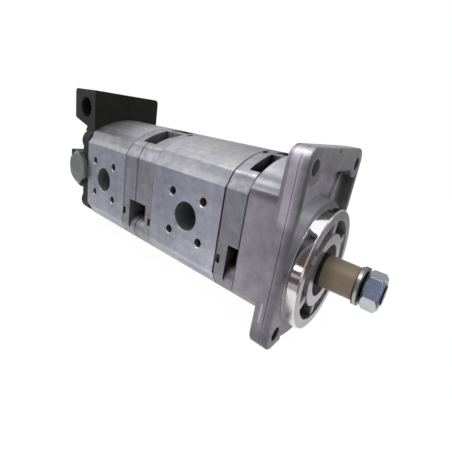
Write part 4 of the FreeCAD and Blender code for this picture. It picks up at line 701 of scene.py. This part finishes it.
def spring_washer():
    """A washer that stands askew: its rim shines, and painted shade makes the gaps beside it black.
    """
    material, tree, shader = new_material("spring_washer")
    axes = axes_of(tree)
    askew = calc(tree, "MULTIPLY_ADD", axes["up"], WASHER_TILT, axes["along"])
    rim = near(tree, askew, WASHER_STATION, 0.00075, 0.00105)
    steel = ramp(tree, noise(tree, 120, 3), (0.3, WASHER_DARK), (0.7, WASHER_LIGHT))
    steel = multiply(tree, steel, WASHER_TINT)
    ends = calc(tree, "SUBTRACT", 1.0, near(tree, axes["up"], 0.0, 0.0085, 0.0105))
    # Painted shade: black beside the rim, less towards the top and bottom
    colour = mix(tree, either(tree, rim, share(tree, ends, 0.6)), SHADE, steel)
    finish(tree, shader, colour, 0.34, soft_edges(tree, 0.0003), blend(tree, rim, 0.0, 0.9))
    return material


def plain_finish(name, colour, metallic, roughness, grain, stretch=(1, 1, 1), deep=0.86):
    """A fine grain and a slightly uneven gloss; deep is the share of the darker tone."""
    material, tree, shader = new_material(name, metallic)
    dark = tuple(part * deep for part in colour)
    clouds = ramp(tree, noise(tree, grain / 12, 3, stretch), (0.3, dark), (0.7, colour))
    gloss = uneven(tree, noise(tree, grain / 3, 2, stretch), roughness * 0.5, roughness * 0.75)
    normal = bump(tree, noise(tree, grain, 2, stretch), 0.12, 0.00006, soft_edges(tree, 0.0003))
    finish(tree, shader, clouds, gloss, normal)
    return material


PLAIN_FINISHES = {
    "hard_steel": dict(colour=STEEL_LIGHT, metallic=1.0, roughness=0.28, grain=2600,
                       stretch=(1, 0.2, 0.2)),
    "zinc_steel": dict(colour=(0.62, 0.66, 0.76), metallic=1.0, roughness=0.23, grain=1500),
    "olive_zinc_steel": dict(colour=(0.29, 0.31, 0.28), metallic=0.85, roughness=0.30, grain=1200,
                             deep=0.62),
    "spring_steel": dict(colour=(0.26, 0.26, 0.25), metallic=0.95, roughness=0.34, grain=1500),
    "black_rubber": dict(colour=tone(0.02), metallic=0.0, roughness=0.55, grain=1200),
    "bearing_bronze": dict(colour=(0.50, 0.36, 0.20), metallic=1.0, roughness=0.35, grain=1500),
    "block_aluminium": dict(colour=(0.65, 0.65, 0.66), metallic=1.0, roughness=0.35, grain=1500),
}


def dress_cad_nodes():
    """Gives each CAD node its own finish or that of its slot."""
    finishes = {name: plain_finish(name, **settings) for name, settings in PLAIN_FINISHES.items()}
    finishes["die_cast_aluminium"] = cast_aluminium("die_cast_aluminium", PLATE_HOLLOWS)
    finishes["extruded_aluminium"] = extruded_aluminium()
    finishes["cast_iron"] = cast_iron()
    finishes["tan_sleeve"] = tan_sleeve()
    own = {
        "front_flange": flange_aluminium(),
        "front_bearing_cover": cast_aluminium("bearing_cover_aluminium", COVER_HOLLOWS),
        "spring_washer": spring_washer(),
        "drive_shaft": shaft_steel(),
    }
    for part in frame["record"]["subparts"]:
        mesh = nodes[part["node"]].data
        mesh.materials.clear()
        mesh.materials.append(own.get(part["node"], finishes[part["material_slot"]]))


dress_cad_nodes()


def new_object(name, data):
    """An object in the scene."""
    thing = bpy.data.objects.new(name, data)
    bpy.context.scene.collection.objects.link(thing)
    return thing


# The shaft nut, with the rounded corners of a forged one

NUT_INSCRIBED = 10.5 * MM
NUT_TURN = 29.5
NUT_BORE = 7.03 * MM
NUT_MOUTH = 0.7 * MM
NUT_STEPS = 144
NUT_ANGLES = [step * 360 / NUT_STEPS + NUT_TURN for step in range(NUT_STEPS)]

# Depths of the rings below each end face, in millimetres
NUT_DEPTHS = (0.0, 0.15, 0.3, 0.5, 0.75, 1.0, 1.3, 1.6, 1.9, 2.2)

# The chamfer's cone: its share of the inscribed circle at the face, and its slope
CONE_SHARE = 0.92
CONE_SLOPE = 1.28

# How far out the corners reach, as a share of the inscribed circle
CORNER_SHARE = 1.145


def nut_radius(angle, depth):
    """Outer radius at an angle, at a depth in millimetres below the nearer end face."""
    from_flat = (angle - NUT_TURN + 30) % 60 - 30
    hexagon = NUT_INSCRIBED / math.cos(math.radians(from_flat))
    cone = NUT_INSCRIBED * CONE_SHARE + depth * MM * CONE_SLOPE
    return min(hexagon, cone, NUT_INSCRIBED * CORNER_SHARE)


def nut_rings():
    """Station and radii of each ring, from the back along the outside and home through the bore."""
    low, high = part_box("shaft_nut")
    start, end = low[0], high[0]
    faces = [(start + depth * MM, depth) for depth in NUT_DEPTHS]
    faces += [(end - depth * MM, depth) for depth in reversed(NUT_DEPTHS)]
    rings = [(station, [nut_radius(angle, depth) for angle in NUT_ANGLES])
             for station, depth in faces]
    bore = ((end, NUT_BORE + NUT_MOUTH), (end - NUT_MOUTH, NUT_BORE),
            (start + NUT_MOUTH, NUT_BORE), (start, NUT_BORE + NUT_MOUTH))
    return rings + [(station, [radius] * NUT_STEPS) for station, radius in bore]


def make_nut():
    """A hexagon nut chamfered at both ends, with a countersunk bore."""
    mesh = bpy.data.meshes.new("nut_forged")
    shape = bmesh.new()
    rings = []
    for station, radii in nut_rings():
        turns = [math.radians(angle) for angle in NUT_ANGLES]
        rings.append([shape.verts.new((station, -radius * math.cos(turn), radius * math.sin(turn)))
                      for radius, turn in zip(radii, turns)])
    for ring, after in zip(rings, rings[1:] + rings[:1]):
        for step in range(NUT_STEPS):
            ahead = (step + 1) % NUT_STEPS
            shape.faces.new((ring[step], ring[ahead], after[ahead], after[step])).smooth = True
    bmesh.ops.recalc_face_normals(shape, faces=shape.faces)
    shape.to_mesh(mesh)
    shape.free()
    mesh.set_sharp_from_angle(angle=math.radians(20))
    mesh.materials.append(zinc_nut())
    nut = new_object("nut_forged", mesh)
    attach(nut, "drive_train")
    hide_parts("shaft_nut")


make_nut()


# The valve spring


def make_spring():
    """A copy of the spring's node, in place of the node."""
    coil = new_object("relief_coil", nodes["relief_spring"].data.copy())
    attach(coil, "housing")
    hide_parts("relief_spring")
    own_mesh(coil)


make_spring()


# Studio

FLOOR_HALF = 3.0
FLOOR_GREY = 0.80
FLOOR_ROUGHNESS = 0.8
FLOOR_GLOW = 1.10
FLOOR_GLOW_SHARE = 0.87
SKY_COLOUR = (0.95, 0.97, 1.0, 1)
SKY_STRENGTH = 0.55
WHITE = (1, 1, 1, 1)
LIGHT_TARGET = (-0.09, 0, 0.02)

# The mirrored room: its walls, the edges of its table and floor, and the corners of its walls
FRONT_WALL, BACK_WALL, END_WALL = -1.3, 1.2, 1.3
TABLE_EDGE, FLOOR_EDGE = -0.175, -0.11
LAMP_WALL = -1.29
CORNER, BACK_CORNER = -0.27, -0.80
CARD_LIFT = 0.0005


def seen_directly(tree):
    """1 for rays of the camera and for those that mirror or pass through something."""
    rays = add(tree, "LightPath")
    return either(tree, rays.outputs["Is Camera Ray"], rays.outputs["Is Glossy Ray"],
                  rays.outputs["Is Transmission Ray"])


def floor_material():
    """White to the camera, with the part's shadow kept."""
    material, tree, shader = new_material("floor_white")
    shader.inputs["Base Color"].default_value = (*tone(FLOOR_GREY), 1)
    shader.inputs["Roughness"].default_value = FLOOR_ROUGHNESS
    shader.inputs["Specular IOR Level"].default_value = 0.0
    glow = add(tree, "Emission", {"Color": WHITE, "Strength": FLOOR_GLOW})
    glowing = share(tree, seen_directly(tree), FLOOR_GLOW_SHARE)
    surface = add(tree, "MixShader")
    join(tree, glowing, surface, 0, "Fac")
    join(tree, shader, surface, "BSDF", 1)
    join(tree, glow, surface, 0, 2)
    join(tree, surface, tree.nodes["Material Output"], 0, "Surface")
    return material


def rectangle(name, corners, material):
    mesh = bpy.data.meshes.new(name)
    mesh.from_pydata(corners, [], [(0, 1, 2, 3)])
    mesh.materials.append(material)
    thing = new_object(name, mesh)
    return thing


def lying(left, right, front, back, height):
    """Corners of a level rectangle."""
    return [(left, front, height), (right, front, height),
            (right, back, height), (left, back, height)]


def standing(left, right, place, low, high):
    """Corners of an upright rectangle that faces across."""
    return [(left, place, low), (right, place, low), (right, place, high), (left, place, high)]


def facing_along(place, front, back, low, high):
    """Corners of an upright rectangle that faces along the shaft."""
    return [(place, front, low), (place, back, low), (place, back, high), (place, front, high)]


def make_floor():
    corners = lying(-FLOOR_HALF, FLOOR_HALF, -FLOOR_HALF, FLOOR_HALF, cad_bounds[0][2])
    rectangle("studio_floor", corners, floor_material())


def room_cards():
    """Colour and corners of each card of the mirrored room."""
    low = cad_bounds[0][2] + CARD_LIFT
    return {
        "card_floor_left": ((0.50, 0.50, 0.57),
                            lying(-1.2, FLOOR_EDGE, FRONT_WALL, FLOOR_EDGE, low)),
        "card_floor_near": ((0.44, 0.43, 0.44),
                            lying(FLOOR_EDGE, 0.3, TABLE_EDGE, FLOOR_EDGE, low)),
        "card_floor_under": ((1.00, 0.98, 1.00), lying(FLOOR_EDGE, 0.07, FLOOR_EDGE, 0.0, low)),
        "card_floor_front": ((0.19, 0.175, 0.18), lying(0.07, 1.2, -0.1, 1.0, low)),
        "card_table": ((0.12, 0.085, 0.07), lying(FLOOR_EDGE, 0.3, FRONT_WALL, TABLE_EDGE, low)),
        "card_wall_left": ((0.13, 0.085, 0.07), standing(-1.6, CORNER, FRONT_WALL, low, 1.05)),
        "card_wall_high": ((0.09, 0.10, 0.16), standing(-1.6, CORNER, FRONT_WALL, 1.05, 2.1)),
        "card_wall_near": ((0.24, 0.26, 0.34), standing(CORNER, 0.6, FRONT_WALL, low, 2.1)),
        "card_lamp": ((6.0, 6.0, 5.6), standing(-0.43, -0.38, LAMP_WALL, 0.12, 0.29)),
        "card_wall_back": ((0.50, 0.50, 0.50), standing(-1.8, BACK_CORNER, BACK_WALL, low, 0.9)),
        "card_wall_right": ((0.44, 0.45, 0.44), standing(BACK_CORNER, 0.9, BACK_WALL, low, 1.3)),
        "card_wall_back_high": ((0.24, 0.24, 0.25),
                                standing(BACK_CORNER, 0.9, BACK_WALL, 1.3, 2.8)),
        "card_wall_front": ((0.25, 0.24, 0.25), facing_along(END_WALL, -1.2, 1.2, low, 0.8)),
    }


def make_cards():
    """The room that only the metal mirrors: table, dark walls, a lamp."""
    for name, (colour, corners) in room_cards().items():
        material = bpy.data.materials.new(name)
        material.use_nodes = True
        tree = material.node_tree
        glow = add(tree, "Emission", {"Color": (*colour, 1), "Strength": 1.0})
        join(tree, glow, tree.nodes["Material Output"], 0, "Surface")
        card = rectangle(name, corners, material)
        card.visible_camera = False
        card.visible_diffuse = False
        card.visible_shadow = False


def make_world():
    """White to the camera and to mirrors, and an even grey sky to everything else."""
    world = bpy.data.worlds.new("studio_world")
    bpy.context.scene.world = world
    world.use_nodes = True
    tree = world.node_tree
    sky = tree.nodes["Background"]
    sky.inputs["Color"].default_value = SKY_COLOUR
    sky.inputs["Strength"].default_value = SKY_STRENGTH
    white = add(tree, "Background", {"Color": WHITE, "Strength": 1.0})
    chosen = add(tree, "MixShader")
    join(tree, seen_directly(tree), chosen, 0, "Fac")
    join(tree, sky, chosen, 0, 1)
    join(tree, white, chosen, 0, 2)
    join(tree, chosen, tree.nodes["World Output"], 0, "Surface")


def area_light(name, place, size, power, colour=(1, 1, 1)):
    """A rectangular lamp that points at the part."""
    light = bpy.data.lights.new(name, "AREA")
    light.shape = "RECTANGLE"
    light.size, light.size_y = size
    light.energy = power
    light.color = colour
    thing = new_object(name, light)
    thing.location = place
    aim = Vector(LIGHT_TARGET) - Vector(place)
    thing.rotation_euler = aim.to_track_quat("-Z", "Y").to_euler()


def make_lights():
    area_light("ceiling_light", (-0.25, -0.25, 0.95), (0.8, 0.35), 4.0)
    area_light("window_light", (-0.75, -0.75, 0.45), (0.4, 0.4), 1.2, (0.93, 0.95, 1.0))


def make_camera():
    camera = bpy.data.cameras.new("photo_camera")
    camera.sensor_width = SENSOR
    camera.lens = FOCAL_PIXELS / PHOTO_PIXELS * SENSOR
    middle = PHOTO_PIXELS / 2
    camera.shift_x = (middle - PHOTO_CENTRE[0]) / PHOTO_PIXELS
    camera.shift_y = (PHOTO_CENTRE[1] - middle) / PHOTO_PIXELS
    camera.clip_start = CLIP_START
    thing = new_object("photo_camera", camera)
    thing.location = CAMERA_PLACE
    thing.rotation_euler = [math.radians(turn) for turn in CAMERA_TURN]
    bpy.context.scene.camera = thing


make_floor()
make_cards()
make_world()
make_lights()
make_camera()
bpy.context.scene.view_settings.view_transform = "Standard"
